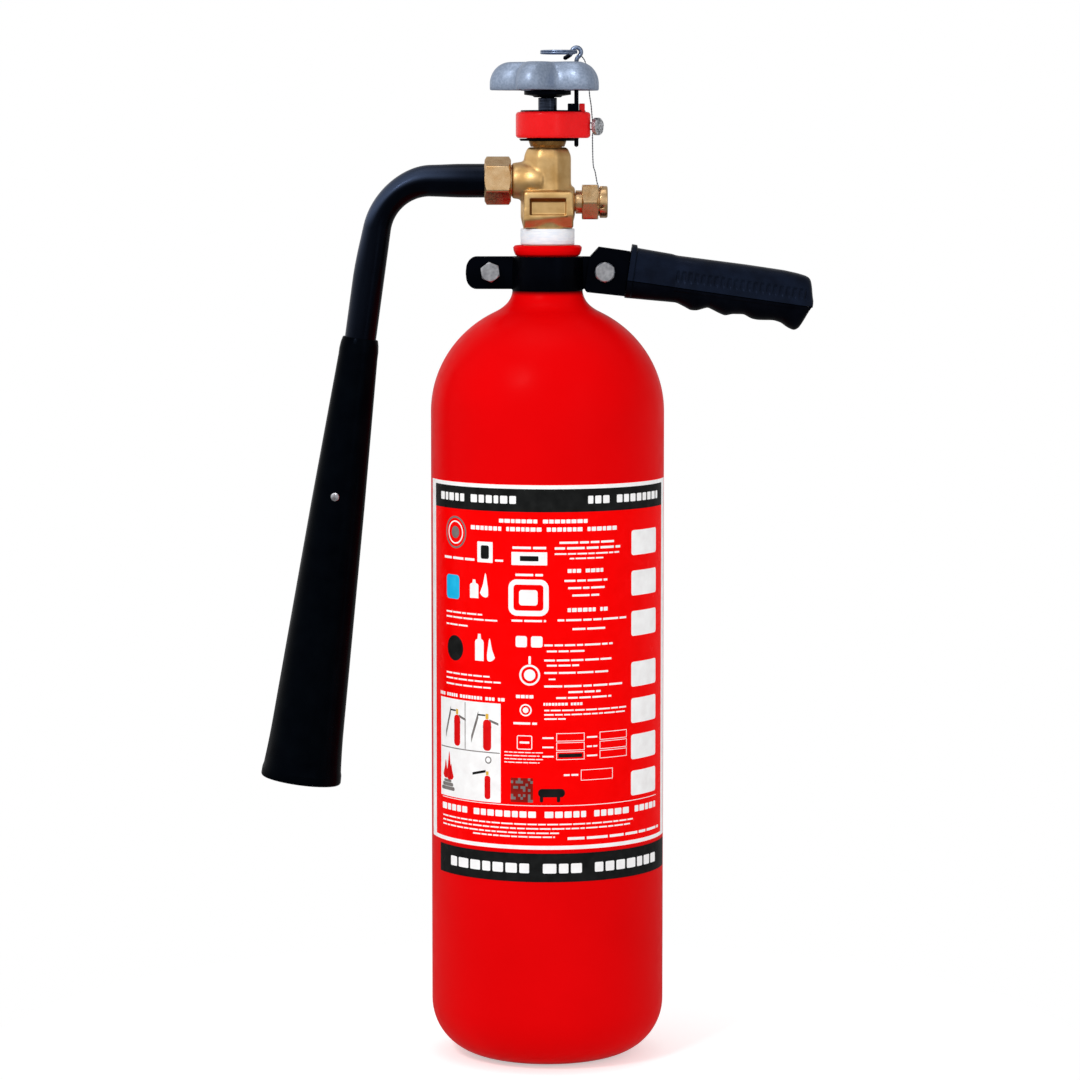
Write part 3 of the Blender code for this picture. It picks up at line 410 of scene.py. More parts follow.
def labelFilm(name, colour, roughness, dark, light):
    # Screen-printed vinyl under clear film: flat ink colour and an even, slightly wavy gloss.
    return finish(
        name, colour, roughness, gloss=0.02, clouds=((7, 3), dark, light),
        patches=((14, 2), roughness - 0.04, roughness + 0.06), relief=[((22, 1), 0.02)],
    )


# cylinder and neck ring

# baked enamel sprayed on steel: deep even red whose gloss shows only as a soft bloom, with the
# faintest orange peel, and a painted shadow under the clamp's straps where the mesh says so
red = finish(
    "sprayedRedEnamel", "E20205", 0.36, gloss=0.018, clouds=((60, 3), "DF0104", "E60206"),
    patches=((9, 3), 0.3, 0.42), relief=[((3.5, 1), 0.008)], mark=("strapShadow", "1C0304"),
)

cylinder = dict(
    radius=(shellHigh.x - shellLow.x) / 2 / mm,
    height=shellHigh.z / mm,
    shoulderStart=390.0,
    shoulderRise=66.5,
    shoulderTopRadius=31.5,
    neckRootRadius=21.0,
    waistRadius=18.0,
    waistHeight=463.9,
    lipRadius=17.0,
    lipHeight=482.4,
    boreRadius=14.7,
    bottomCorner=33.0,
    footInnerRadius=32.0,
    dishRise=14.0,
    wallInside=430.0,  # the bore is closed off here, out of sight
    strapShadowTop=462.4,  # the painted shadow lies under the clamp
    strapShadowDepth=3.6,
    steps=256,
)


def makeCylinder(c):
    # Straight side, elliptical shoulder that runs into the neck on a hollow curve, round bottom
    # corner and a base pressed inwards.
    radius, start = c["radius"], c["shoulderStart"]
    top = c["shoulderTopRadius"]
    tip = math.acos(top / radius)
    lean = np.linspace(tip, 0, 28)
    shoulder = np.stack([radius * np.cos(lean), start + c["shoulderRise"] * np.sin(lean)], -1)
    slope = c["shoulderRise"] / radius * top / math.sqrt(radius**2 - top**2)
    foot = np.array([c["neckRootRadius"], c["waistHeight"] - 0.8])
    corner = np.array([c["neckRootRadius"], shoulder[0, 1] + (top - c["neckRootRadius"]) * slope])
    t = np.linspace(0, 1, 30)[1:-1, None]
    hollow = foot * (1 - t) ** 2 + corner * 2 * t * (1 - t) + shoulder[0] * t**2
    bend, curve = np.linspace(0, -math.pi / 2, 20), c["bottomCorner"]
    bottom = np.stack([radius + curve * (np.cos(bend) - 1), curve * (1 + np.sin(bend))], -1)
    inward = np.linspace(0, 1, 14)
    dish = np.stack(
        [c["footInnerRadius"] * (1 - inward), c["dishRise"] * np.sin(inward * math.pi / 2)], -1
    )
    side = np.stack([np.full(10, radius), np.linspace(start, c["bottomCorner"], 12)[1:-1]], -1)
    neck = rounded([
        (c["boreRadius"], c["wallInside"], 0), (c["boreRadius"], c["height"], 0.5),
        (c["lipRadius"], c["height"], 0.4), (c["lipRadius"], c["lipHeight"], 0),
        (c["waistRadius"], c["lipHeight"], 0.3), (c["waistRadius"], c["waistHeight"], 0.6),
        (c["neckRootRadius"], c["waistHeight"], 0.8), (c["neckRootRadius"], foot[1] - 3, 0),
    ], 3)[:-1]
    inside = np.array([[0.0, c["wallInside"]]])
    outer = np.vstack([inside, neck, foot[None], hollow, shoulder, side, bottom, dish])
    made = turned("cylinderShell", outer, c["steps"])

    # painted shadow: the neck is darkened just below the straps, where their shadow falls
    def strapShadow(places, normals):
        under = (places[:, 2] - c["strapShadowTop"] + c["strapShadowDepth"]) / c["strapShadowDepth"]
        return 0.95 * ease(under) * (places[:, 2] < c["waistHeight"] + 1)

    keepOnPoints(made, "strapShadow", strapShadow)
    give(made, red, "cylinder", ["cylinder_shell"])

    # the neck ring sits on the lip and widens upwards
    low, high = span("neck_ring")
    inner, shoulder = c["lipRadius"] + 0.3, c["lipRadius"] + 2.4
    ring = rounded([
        (inner, low[2], 0), (inner + 0.9, low[2], 0.3), (shoulder, 483.6, 1.2),
        (high[0] + 0.4, 485.9, 1.6), (high[0] + 0.7, high[2] - 1.2, 0.6),
        (shoulder, high[2], 1.0), (inner, high[2], 0),
    ])
    give(turned("neckRing", ring, 128, closed=True), red, "cylinder", ["neck_ring"])


makeCylinder(cylinder)
print("cylinder made")

# label: every place is (arc from the front's middle, height)

label = dict(
    left=-95.5,
    right=100.5,
    sideBorder=8.3,
    bottom=135.0,
    top=351.2,
    border=2.3,
    headBand=13.5,
    footBandLeft=-80.5,
    footBandTop=133.0,
    footBandBottom=116.0,
    film=0.16,
    ink=0.03,
)


def onCylinder(arc, height, radius):
    # A point's angle about Z is its arc over the cylinder's radius, counted from the front.
    return polar(radius, arc / cylinder["radius"] - math.pi / 2, height)


def slab(arc, low, high, inner, outer):
    # A printed patch: along its arc it reaches from low to high, and it is as thick as its ink.
    corners = [(low, inner), (low, outer), (high, outer), (high, inner)]
    grid = np.stack([onCylinder(arc, height, radius) for height, radius in corners], 1)
    faces = gridFaces(len(arc), 4, wrapColumns=True)
    last = (len(arc) - 1) * 4
    faces += [[0, 1, 2, 3], [last + 3, last + 2, last + 1, last]]
    return grid.reshape(-1, 3), faces


def bar(left, right, bottom, top, corner=0.0):
    # A rectangle with round corners, as the low and high edge at places along the arc.
    corner = min(corner, (right - left) / 2, (top - bottom) / 2)
    arc = np.linspace(left + corner, right - corner, max(2, math.ceil((right - left) / 2)))
    if corner > 0:
        swing = corner * (1 - np.cos(np.linspace(0, math.pi / 2, 5)[:-1]))
        arc = np.concatenate([left + swing, arc, (right - swing)[::-1]])
    short = np.clip(corner - np.minimum(arc - left, right - arc), 0, corner)
    inset = corner - np.sqrt(np.clip(corner**2 - short**2, 0, None))
    return arc, bottom + inset, top - inset


def disc(arc, height, radius):
    # A circle, read at the cosines of even angles.
    place = -np.cos(np.linspace(0, math.pi, 15))
    rise = np.sin(np.linspace(0, math.pi, 15)) * radius
    return arc + place * radius, height - rise, height + rise


def flame(arc, height, width, tall, lean=0.0):
    # A drop: half a circle below, and above it two hollow sides that meet in a leaning tip.
    place = -np.cos(np.linspace(0, math.pi, 17))
    rise = np.sin(np.linspace(0, math.pi, 17))
    tip = rise**2.2 * (1 + 0.25 * np.cos(5 * place))
    return arc + place * width / 2 + lean * rise, height - rise * width / 2, height + tip * tall


def bottle(arc, bottom, width, tall):
    # A small cylinder with a round shoulder and a neck.
    place = np.linspace(-1, 1, 15)
    neck = np.abs(place) < 0.36
    shoulder = tall * 0.7 + tall * 0.12 * np.sqrt(1 - place**2)
    return arc + place * width / 2, np.full(15, bottom), bottom + np.where(neck, tall, shoulder)


def stroke(start, end, width):
    # A slanting line, thick by width along the height.
    share = np.linspace(0, 1, 6)
    arc = start[0] + (end[0] - start[0]) * share
    height = start[1] + (end[1] - start[1]) * share
    return arc, height - width / 2, height + width / 2


def band(outer, inner, inside, outside):
    # The area between two closed outlines with as many points each, in strips narrow enough to
    # follow the cylinder.
    lengths = np.linalg.norm(np.roll(outer, -1, 0) - outer, axis=1)
    count = np.maximum(1, np.ceil(lengths / 2)).astype(int)

    def refined(outline):
        after = np.roll(outline, -1, 0)
        shares = [np.arange(n)[:, None] / n for n in count]
        return np.concatenate([a + (b - a) * s for a, b, s in zip(outline, after, shares)])

    outer, inner = refined(outer), refined(inner)
    strips = max(2, math.ceil(np.abs(outer - inner).max() / 1.5) + 1)
    share = np.linspace(0, 1, strips)
    sides = [(outer + (inner - outer) * s, inside) for s in share]
    sides += [(inner + (outer - inner) * s, outside) for s in share]
    grid = np.stack([onCylinder(line[:, 0], line[:, 1], radius) for line, radius in sides], 1)
    return grid.reshape(-1, 3), gridFaces(len(outer), 2 * strips, wrapRows=True, wrapColumns=True)


def ringOutline(left, right, bottom, top, corner):
    # Anticlockwise, as seen from outside.
    places = [(right, bottom), (right, top), (left, top), (left, bottom)]
    return rounded([(a, b, corner) for a, b in places], 5)


class Sheet:
    # Collects the patches of one colour of ink, and makes one piece of them.
    def __init__(self, inner, outer):
        self.inner, self.outer = inner, outer
        self.points, self.faces, self.count = [], [], 0

    def add(self, made):
        # One patch's points and faces.
        points, faces = made
        self.points.append(points)
        self.faces += [[corner + self.count for corner in face] for face in faces]
        self.count += len(points)

    def fill(self, *shapes):
        # Plain areas, each with its low and high edge at places along the arc.
        for shape in shapes:
            self.add(slab(*shape, self.inner, self.outer))

    def frame(self, left, right, bottom, top, line, corner=0.0):
        # A rectangle's outline, as thick as the line; 0.01 stands for a sharp corner.
        inset = (left + line, right - line, bottom + line, top - line, max(corner - line, 0.01))
        outer = ringOutline(left, right, bottom, top, max(corner, 0.01))
        self.add(band(outer, ringOutline(*inset), self.inner, self.outer))

    def ring(self, arc, height, radius, line):
        # A circle's outline, as thick as the line.
        circle = polar(1, evenTurns(48), 0)[:, :2]
        outer = circle * radius + (arc, height)
        inner = circle * (radius - line) + (arc, height)
        self.add(band(outer, inner, self.inner, self.outer))

    def text(self, left, right, bottom, top, seed, letter=0.66, weight=0.6, blocks=False):
        # Stands for a line of text: one plain bar for each word, or with blocks=True a row of
        # small plain blocks. They are lower than the line, so that they weigh as much as print.
        chance = np.random.default_rng(seed)
        tall = top - bottom
        wide, trim = tall * letter, tall * (1 - weight) / 2
        place = left
        while place < right - wide:
            end = min(place + wide * int(chance.integers(3, 9)), right)
            if right - end < wide * 1.6:
                end = right
            edges = [place, end]
            if blocks:
                share = chance.uniform(0.8, 1.25, max(1, round((end - place) / wide)))
                ends = np.concatenate([[0], np.cumsum(share) / share.sum()])
                edges = place + (end - place) * ends
            gap = tall * 0.17 if blocks else 0.0
            for first, last in zip(edges, edges[1:]):
                self.fill(bar(first, last - gap, bottom + trim, top - trim, tall * 0.08))
            place = end + wide * 0.8

    def piece(self, name, ink):
        made = solid(name, np.concatenate(self.points), self.faces, merge=False)
        give(made, ink, "cylinder")


# lines of print: left, right, bottom, top, and what their own chance starts from
plainLines = [
    # capacity and rating
    (-73.8, -46.3, 304.5, 306.9, 6), (-31.9, -26.7, 305.0, 307.0, 7),
    (-20.9, -0.9, 312.8, 315.2, 8),
    # notes at the upper right
    (6.9, 41.2, 316.0, 318.1, 20), (4.1, 45.8, 312.6, 314.9, 21), (4.1, 45.0, 309.7, 311.2, 22),
    (12.9, 33.9, 307.0, 308.4, 23), (9.8, 36.6, 293.6, 295.6, 24), (12.0, 34.8, 289.3, 291.3, 25),
    (14.5, 31.2, 284.9, 286.9, 26), (5.8, 50.5, 270.4, 272.4, 27), (14.6, 35.2, 265.1, 267.1, 28),
    # two classes
    (-71.7, -40.7, 272.6, 274.2, 40), (-71.7, -30.5, 269.6, 271.2, 41),
    (-71.7, -51.7, 265.2, 266.8, 42), (-71.8, -35.6, 236.1, 237.7, 43),
    (-71.9, -28.3, 233.0, 234.6, 44), (-71.9, -34.8, 229.5, 231.1, 45),
    # middle column
    (-19.1, -2.8, 296.9, 299.2, 50), (-21.5, -0.9, 270.0, 272.0, 51),
    (-20.4, -6.3, 209.2, 211.4, 53), (-26.0, -2.8, 192.6, 193.5, 54),
    (-26.0, -4.8, 190.6, 191.5, 55), (-26.0, -2.8, 188.6, 189.5, 56),
    (-26.0, -4.8, 186.6, 187.5, 57),
    # notes down the right of it
    (-2.0, 40.4, 255.7, 257.6, 60), (-0.5, 21.9, 252.2, 254.0, 61),
    (-2.0, 39.5, 246.8, 248.7, 62), (-0.5, 18.6, 243.8, 245.6, 63),
    (-2.0, 37.3, 239.4, 241.3, 64), (0.6, 4.6, 235.9, 237.3, 65),
    (-2.0, 47.4, 231.4, 233.4, 66), (12.2, 32.2, 227.9, 229.8, 67),
    (5.0, 39.5, 224.6, 226.4, 68), (-2.0, 50.6, 217.4, 218.9, 69),
    (-2.0, 49.5, 214.9, 216.3, 70), (-2.0, 10.6, 212.4, 213.8, 71),
    # below the table, and at the foot
    (9.5, 18.2, 178.8, 180.6, 97), (-76.4, 56.4, 149.7, 151.1, 100),
    (-76.4, 54.0, 147.1, 148.5, 101), (-76.4, 6.7, 144.5, 145.9, 102),
    (-47.7, 4.3, 142.2, 143.6, 103), (11.8, 86.5, 140.6, 143.2, 110),
]
# heavier lines, made of small blocks; then the blocks' width and weight
blockLines = [
    (-29.3, 24.3, 327.9, 331.3, 4, 1.0, 0.66), (-49.0, 43.8, 323.0, 326.7, 5, 0.84, 0.66),
    (11.7, 34.4, 298.8, 302.0, 30, 0.9, 0.7), (11.7, 37.4, 275.7, 279.0, 31, 0.9, 0.7),
    (-18.8, -7.9, 224.8, 227.6, 52, 0.9, 0.7), (-2.5, 21.1, 220.7, 223.0, 80, 0.8, 0.7),
    (-79.8, -25.4, 222.4, 225.2, 81, 0.8, 0.7), (-77.1, 82.5, 153.2, 159.2, 98, 0.86, 0.62),
]
bandLines = [
    (-78.3, -17.5, 338.4, 345.6, 1, 0.7, 0.64), (24.1, 84.7, 338.4, 345.6, 14, 0.7, 0.64),
    (-67.4, 82.7, 119.6, 128.6, 3, 0.92, 0.64),
]


def makeLabel(d):
    # One sheet of vinyl, a sheet of ink for each colour printed on it, and a second sheet for
    # what is printed over another ink.
    film = cylinder["radius"] + d["film"]
    over = film + d["ink"]
    low, high = (film - 0.02, over), (over - 0.01, over + d["ink"])
    white, black, cyan, maroon = Sheet(*low), Sheet(*low), Sheet(*low), Sheet(*low)
    ringGrey, grey, yellow = Sheet(*low), Sheet(*high), Sheet(*high)
    whiteTop, redTop, blackTop = Sheet(*high), Sheet(*high), Sheet(*high)
    left, right, bottom, top, edge = d["left"], d["right"], d["bottom"], d["top"], d["border"]
    vinyl = Sheet(cylinder["radius"] - 0.05, film)
    vinyl.fill(bar(left, right, bottom, top, 1.0))
    for line in plainLines:
        white.text(*line)
    for line in blockLines:
        white.text(*line, True)
    for line in bandLines:
        whiteTop.text(*line, True)

    # the white border is wide down both sides and narrow across
    outLeft, outRight, outLow, outTop = left + 0.4, right - 0.4, bottom + 0.4, top - 0.4
    headTop, footLow = outTop - edge, outLow + edge
    innerLeft, innerRight = left + d["sideBorder"], right - d["sideBorder"]
    white.fill(bar(outLeft, outRight, headTop, outTop, 0.5))
    white.fill(bar(outLeft, outRight, outLow, footLow, 0.5))
    white.fill(bar(outLeft, innerLeft, footLow, headTop))
    white.fill(bar(innerRight, outRight, footLow, headTop))
    # head band and foot band
    black.fill(bar(innerLeft, innerRight, headTop - d["headBand"], headTop))
    black.fill(bar(d["footBandLeft"], right, d["footBandBottom"], d["footBandTop"], 0.6))

    # two blocks beside the capacity, and a plain badge of two rings at the upper left
    white.fill(bar(-44.1, -33.5, 304.5, 316.7, 0.3), bar(-21.5, -0.3, 303.8, 311.5, 0.3))
    blackTop.fill(bar(-41.6, -36.0, 306.6, 314.6, 1.2), bar(-16.4, -5.4, 306.2, 309.2, 0.5))
    ringGrey.ring(-62.3, 321.0, 9.6, 1.1)
    white.ring(-62.3, 321.0, 6.9, 0.8)
    ringGrey.fill(disc(-62.3, 321.0, 3.6))

    # two classes, each with a block and a pictogram of a flame and a bottle
    cyan.fill(bar(-71.4, -58.6, 281.2, 295.6, 2.4))
    white.fill(flame(-39.6, 286.6, 5.6, 9.4, 1.2), bottle(-46.6, 283.0, 6.4, 11.0))
    black.fill(disc(-63.0, 252.0, 7.6))
    white.fill(bottle(-42.8, 246.0, 6.2, 16.0), flame(-34.6, 248.6, 5.2, 9.0, -1.0))

    # middle column: plain marks under one another
    white.frame(-23.4, 0.6, 273.9, 295.4, 3.1, 5.0)
    white.fill(bar(-16.9, -5.9, 280.1, 289.2, 1.6))
    white.fill(bar(-19.0, -12.2, 255.4, 262.0, 1.2), bar(-9.8, -3.0, 255.4, 262.0, 1.2))
    white.ring(-10.6, 239.0, 6.2, 1.2)
    white.fill(disc(-10.6, 239.0, 3.4), bar(-11.3, -9.9, 245.4, 250.2, 0.5))
    white.ring(-13.0, 218.2, 3.6, 0.8)
    white.fill(disc(-13.0, 218.2, 1.7))
    white.frame(-18.3, -9.1, 194.8, 203.2, 0.5, 1.0)
    white.fill(bar(-16.6, -10.8, 198.4, 199.6, 0.3))

    # picture panel: three cells; two have a plain cylinder with its hose
    white.fill(bar(-79.2, -28.4, 162.4, 221.4, 0.3))
    grey.fill(bar(-54.2, -53.6, 192.4, 220.4), bar(-78.6, -29.0, 191.6, 192.2))
    for at, foot in ((-61.0, 193.6), (-37.4, 192.8)):
        redTop.fill(bar(at - 2.8, at + 2.8, foot, foot + 18.6, 2.4))
        blackTop.fill(bar(at - 2.9, at + 2.9, foot + 13.4, foot + 15.2, 0.2))
        yellow.fill(bar(at - 1.0, at + 1.0, foot + 18.8, foot + 22.0, 0.3))
        blackTop.fill(bar(at - 6.6, at - 1.2, foot + 20.6, foot + 21.5, 0.3))
        grey.fill(stroke((at - 11.6, foot + 6.0), (at - 6.2, foot + 21.2), 4.4))
        grey.fill(stroke((at + 1.6, foot + 18.2), (at + 7.6, foot + 16.2), 1.4))
    # the lowest cell has three logs under flames, and a cylinder that points at them
    for leftEnd, rightEnd, foot, high, corner in [
        (-78.0, -63.6, 166.0, 168.2, 1.0), (-76.6, -65.0, 168.4, 170.6, 1.0),
        (-75.0, -66.8, 170.8, 172.4, 0.8),
    ]:
        grey.fill(bar(leftEnd, rightEnd, foot, high, corner))
    redTop.fill(flame(-73.4, 175.4, 5.0, 7.0, 0.4), flame(-69.8, 175.0, 5.6, 11.6, 0.8))
    redTop.fill(flame(-66.6, 174.6, 4.2, 6.0, -0.4), bar(-39.2, -35.2, 164.0, 178.0, 1.6))
    yellow.fill(bar(-38.2, -36.4, 178.2, 180.6, 0.3))
    blackTop.fill(stroke((-48.0, 178.4), (-38.4, 180.6), 1.5))
    grey.ring(-36.6, 187.4, 2.2, 0.7)

    # table of empty boxes, each with a line beside it
    for column, (start, end) in enumerate([(5.1, 22.0), (31.7, 51.1)]):
        for row in range(3):
            foot = 200.0 - 5.5 * row
            seed = 90 + 3 * column + row
            white.frame(start, end, foot - 0.2, foot + 4.6, 0.35)
            white.text(start - 8.2, start - 1.6, foot + 1.0, foot + 2.6, seed)
    blackTop.fill(bar(6.4, 20.6, 190.2, 192.4, 0.5))
    white.frame(19.8, 40.6, 176.2, 182.6, 0.35)

    # a patch of mixed squares, a dark block on two feet, and the rule above the foot lines
    speckle = np.random.default_rng(7).integers(0, 3, (9, 9))
    for (row, column), kind in np.ndenumerate(speckle):
        across, foot = -22.0 + 1.48 * column, 163.4 + 1.6 * row
        sheet = (grey, maroon, maroon)[kind]
        sheet.fill(bar(across, across + 1.48, foot, foot + 1.6))
    black.fill(bar(-5.6, 10.2, 166.6, 171.6, 2.2))
    black.fill(bar(-4.6, -2.6, 163.6, 167.4, 0.8), bar(5.4, 7.4, 163.6, 167.4, 0.8))
    white.fill(bar(-77.0, 82.4, 161.3, 161.7))

    # the tall right column: heavy plain blocks, in a group of three and a group of four
    for middle in (315.3, 291.3, 267.3, 237.0, 215.3, 193.6, 171.9):
        white.fill(bar(54.8, 81.4, middle - 7.6, middle + 7.2, 1.6))

    whiteInk = labelFilm("whiteScreenInk", "FFFFFF", 0.26, "F4F2F2", "FFFFFF")
    blackInk = labelFilm("blackScreenInk", "191919", 0.26, "151616", "1F2020")
    vinyl.piece("labelFilm", labelFilm("redPrintedVinyl", "FF0000", 0.24, "FA0000", "FF0203"))
    white.piece("labelWhite", whiteInk)
    black.piece("labelBlack", blackInk)
    cyan.piece("labelCyan", labelFilm("cyanScreenInk", "20B8E8", 0.26, "1AB0E2", "26BEEC"))
    grey.add((np.concatenate(ringGrey.points), ringGrey.faces))
    grey.piece("labelGrey", labelFilm("greyScreenInk", "77716F", 0.28, "6C6664", "837D7B"))
    maroon.piece("labelMaroon", labelFilm("maroonScreenInk", "8A1A14", 0.28, "7A1610", "9A201A"))
    yellow.piece("labelYellow", labelFilm("yellowScreenInk", "E0B040", 0.28, "D8A838", "E6B84A"))
    whiteTop.piece("labelWhiteOver", whiteInk)
    blackTop.piece("labelBlackOver", blackInk)
    redTop.piece("labelRedOver", labelFilm("redScreenInk", "E01014", 0.26, "D80E12", "E61418"))


makeLabel(label)
print("label made")

# thread tape and valve body

# soft white thread tape, wound dry: matt, with the edges of its turns just showing
whiteTape = finish(
    "woundThreadTape", "F2F6FB", 0.62, clouds=((5, 3, 0.5, (1, 1, 4)), "E9F0FA", "FAFCFF"),
    relief=[((1.2, 3, 0.5, (1, 1, 5)), 0.06)],
)
# hot-forged brass, shot-blasted and lightly tumbled: a warm gold with a fine sandy surface that
# breaks up its reflections, and painted shade in brown where the mesh says so
brassForged = finish(
    "forgedBrass", "D2AA70", 0.4, 1.0, clouds=((9, 4), "C79D62", "E2BD84"),
    patches=((3.5, 3), 0.34, 0.46), relief=[((0.7, 3), 0.06), ((4.5, 2), 0.12)],
    mark=("recessShade", "744A24"),
)


def turnedBrass(name, colour, dark, light):
    # Machined brass: finer and smoother than the forging, with faint tool marks.
    return finish(
        name, colour, 0.24, 1.0, clouds=((6, 3), dark, light), patches=((2.5, 3), 0.2, 0.34),
        relief=[((0.5, 2, 0.5, (6, 1, 1)), 0.012)],
    )


brassTurned = turnedBrass("machinedBrass", "D4B080", "C8A070", "DFBF94")

tape = dict(
    wraps=5.2,
    ply=0.14,
    waviness=0.05,
    innerRadius=14.7,
    outerRadius=16.05,
    endDrop=0.35,  # the winding is thinner at both ends
)


def makeTape(t):
    # The tape's surface steps outwards where each turn of its spiral lies on the last one.
    low, high = span("thread_tape")
    angle = evenTurns(180)
    height = np.linspace(0, 1, 60)[:, None]
    phase = height * t["wraps"] + angle[None] / turnAll
    turn = phase % 1.0
    step = np.clip(turn * 14, 0, 1) * t["ply"] * (1 - turn * 0.55)
    wave = np.sin(7 * angle[None] + 5 * height) * np.sin(3 * angle[None] - 9 * height)
    ends = t["endDrop"] * (1 - np.minimum(1, np.minimum(height, 1 - height) * 18))
    radius = t["outerRadius"] + step + t["waviness"] * wave - ends
    outer = polar(radius, angle, low[2] + (high[2] - low[2]) * height)
    inner = turnedGrid([(t["innerRadius"], high[2]), (t["innerRadius"], low[2])], 180)
    made = gridSolid("threadTape", np.concatenate([outer, inner]), wrapRows=True, wrapColumns=True)
    give(made, whiteTape, "cylinder", ["thread_tape"])


makeTape(tape)

valve = dict(
    stemRadius=14.4,
    collarRadius=16.1,
    collarHeight=499.5,
    flat=14.0,  # from the axis to a flat of the eight-sided upper body
    top=547.5,
    outletHeight=527.6,
    reliefHeight=514.9,
    outletEnd=-21.4,
    spigotRadius=10.7,
    spigotEnd=-29.5,
    padLow=(-14.4, -17.2, 508.2),
    padHigh=(15.6, 17.2, 521.6),
    recessLow=(-10.5, 507.2),
    recessHigh=(11.1, 517.3),
    recessDepth=2.6,
    recessDraft=(0.8, 0.4, 0.4, 2.1),  # left, below, right, above
    voxel=0.42,
    wideFillets=46,  # rounds of smoothing
    narrowFillets=9,
    recessFillets=2,
)


def roundBlock(name, low, high, radius=0.0):
    # A block whose edges are rounded off: a cube's corners moved out, then bevelled.
    shape = bmesh.new()
    bmesh.ops.create_cube(shape, size=1)
    mesh = meshFrom(name, shape)
    made = newObject(name, mesh)
    low, high = np.array(low, float), np.array(high, float)
    corners = np.array([point.co for point in mesh.vertices]) + 0.5
    moved(made, lambda places: corners * (high - low) + low)
    mesh.update()
    mesh.shade_smooth()
    if radius:
        settle(softEdges(made, radius, 3))
    return made


def fused(obj, voxel, rounds):
    # Closed shapes that overlap become one skin on a fine grid, and rounds of smoothing draw
    # out their fillets.
    fuse = obj.modifiers.new("forging", "REMESH")
    fuse.mode, fuse.voxel_size = "VOXEL", voxel * mm
    soften = obj.modifiers.new("tumbled", "SMOOTH")
    soften.factor, soften.iterations = 0.5, rounds
    return settle(obj)


def makeValveBody(v):
    # The forging's round forms are fused with wide fillets, then its panel with narrow ones.
    centre = (0, 0, v["outletHeight"])
    flat, top, angle = v["flat"], v["top"], evenTurns(128)
    rows = np.array([
        (0.0, 510.0), (flat + 0.6, 510.0), (flat + 0.5, 521.0), (flat, 527.0), (flat, top - 5.4),
        (flat - 0.5, top - 4.0), (flat - 1.3, top - 1.9), (flat - 2.1, top - 0.6),
        (flat - 2.8, top), (0.0, top),
    ])
    upper = polar(rows[:, :1] * barRadius(angle, 2, 8, 30), angle, rows[:, 1:])
    upperBody = gridSolid("upperBody", upper, wrapColumns=True)
    wide, foot = v["collarRadius"], v["collarHeight"]
    collar = [
        (0, 524), (12.6, 524), (15.2, 520), (wide, 514), (wide, foot + 6.0),
        (wide - 1.5, foot + 0.4), (v["stemRadius"], foot), (v["stemRadius"], 478), (0, 478),
    ]
    lowerBody = turned("lowerBody", collar, 128)
    # the outlet's boss swells to the front and back, far less upwards and downwards
    end, mouth = v["outletEnd"], 10.5
    flare = np.array([
        (0, 0), (15.6, -3.0), (15.9, -7.0), (15.5, -10.5), (14.2, -13.8), (12.6, -16.6),
        (11.5, -19.0), (11.0, end + 0.5), (mouth, end), (0, end),
    ])
    bossGrid = turnedGrid(flare, 96)
    upright = np.minimum(flare[:, 0], mouth + 0.3 * (flare[:, 0] - mouth).clip(0))
    bossGrid[..., 0] *= (upright / np.maximum(flare[:, 0], 0.1))[:, None]
    boss = gridSolid("outletBoss", placed(bossGrid, "x", centre), wrapColumns=True)
    plugSeat = [(0, 16.4), (8.6, 16.4), (9.2, 15.8), (10.4, 8.0), (0, 6.0)]
    seat = turned("reliefBoss", plugSeat, 96, "x", (0, 0, v["reliefHeight"]))
    pad = roundBlock("panelPad", v["padLow"], v["padHigh"], 2.0)
    # below the panel the block leans back to the stem on both sides
    front, back = v["padLow"][1], v["padHigh"][1]
    ends = ((v["padLow"][0] + 0.2, 504.0, 2.6), (v["padHigh"][0] - 0.2, 507.2, 4.9))
    lean = [
        [
            (side, front, 511), (side, front, edge), (side, front + deep, 499.8),
            (side, back - deep, 499.8), (side, back, edge), (side, back, 511),
        ]
        for side, edge, deep in ends
    ]
    slope = gridSolid("panelSlope", np.array(lean), wrapColumns=True, capEnds=True)
    # the recess has drafted sides, most of all above
    (left, low), (right, high), (a, b, c, e) = v["recessLow"], v["recessHigh"], v["recessDraft"]
    depth = front + v["recessDepth"]
    sections = []
    for out, y in ((1, depth - 2 * v["recessDepth"]), (-1, depth)):
        x = [left - out * a, right + out * c, right + out * c, left - out * a]
        z = [low - out * b, low - out * b, high + out * e, high + out * e]
        sections.append(np.stack([x, np.full(4, y), z], -1))
    recess = gridSolid("panelRecess", np.stack(sections), wrapColumns=True, capEnds=True)
    forms = [upperBody, lowerBody, boss, seat]
    body = fused(merged("valveBody", forms), v["voxel"], v["wideFillets"])
    body = fused(merged("valveBody", [body, pad, slope]), v["voxel"], v["narrowFillets"])
    carve(body, recess)
    fused(body, v["voxel"] * 0.86, v["recessFillets"])
    body.data.shade_smooth()

    def recessShade(places, normals):
        # Painted shade: it lies on the recess's upper and left walls, where they face down or to
        # the right.
        x, y, z = places.T
        inside = (x > left - 1.6) & (x < right + 1.0) & (y > front - 1) & (y < front + 3.4)
        inside &= (z > low - 1) & (z < high + 1.6)
        above, beside = -normals[:, 2], normals[:, 0] * (x < 0)
        return inside * (ease((above - 0.2) / 0.3) + ease((beside - 0.2) / 0.3))

    keepOnPoints(body, "recessShade", recessShade)
    give(body, brassForged, "cylinder", ["valve_body"])

    radius, last = v["spigotRadius"], v["spigotEnd"]
    profile = rounded([
        (0, end + 3, 0), (9.4, end + 3, 0), (9.4, end - 0.9, 0.3), (radius - 1.0, end - 1.2, 0.1),
        (radius, last, 0.8), (5.0, last, 0.4), (5.0, last + 6, 0), (0, last + 6, 0),
    ])
    spigot = turned("outletSpigot", profile[::-1], 96, "x", centre)
    give(spigot, brassTurned, "cylinder")


makeValveBody(valve)

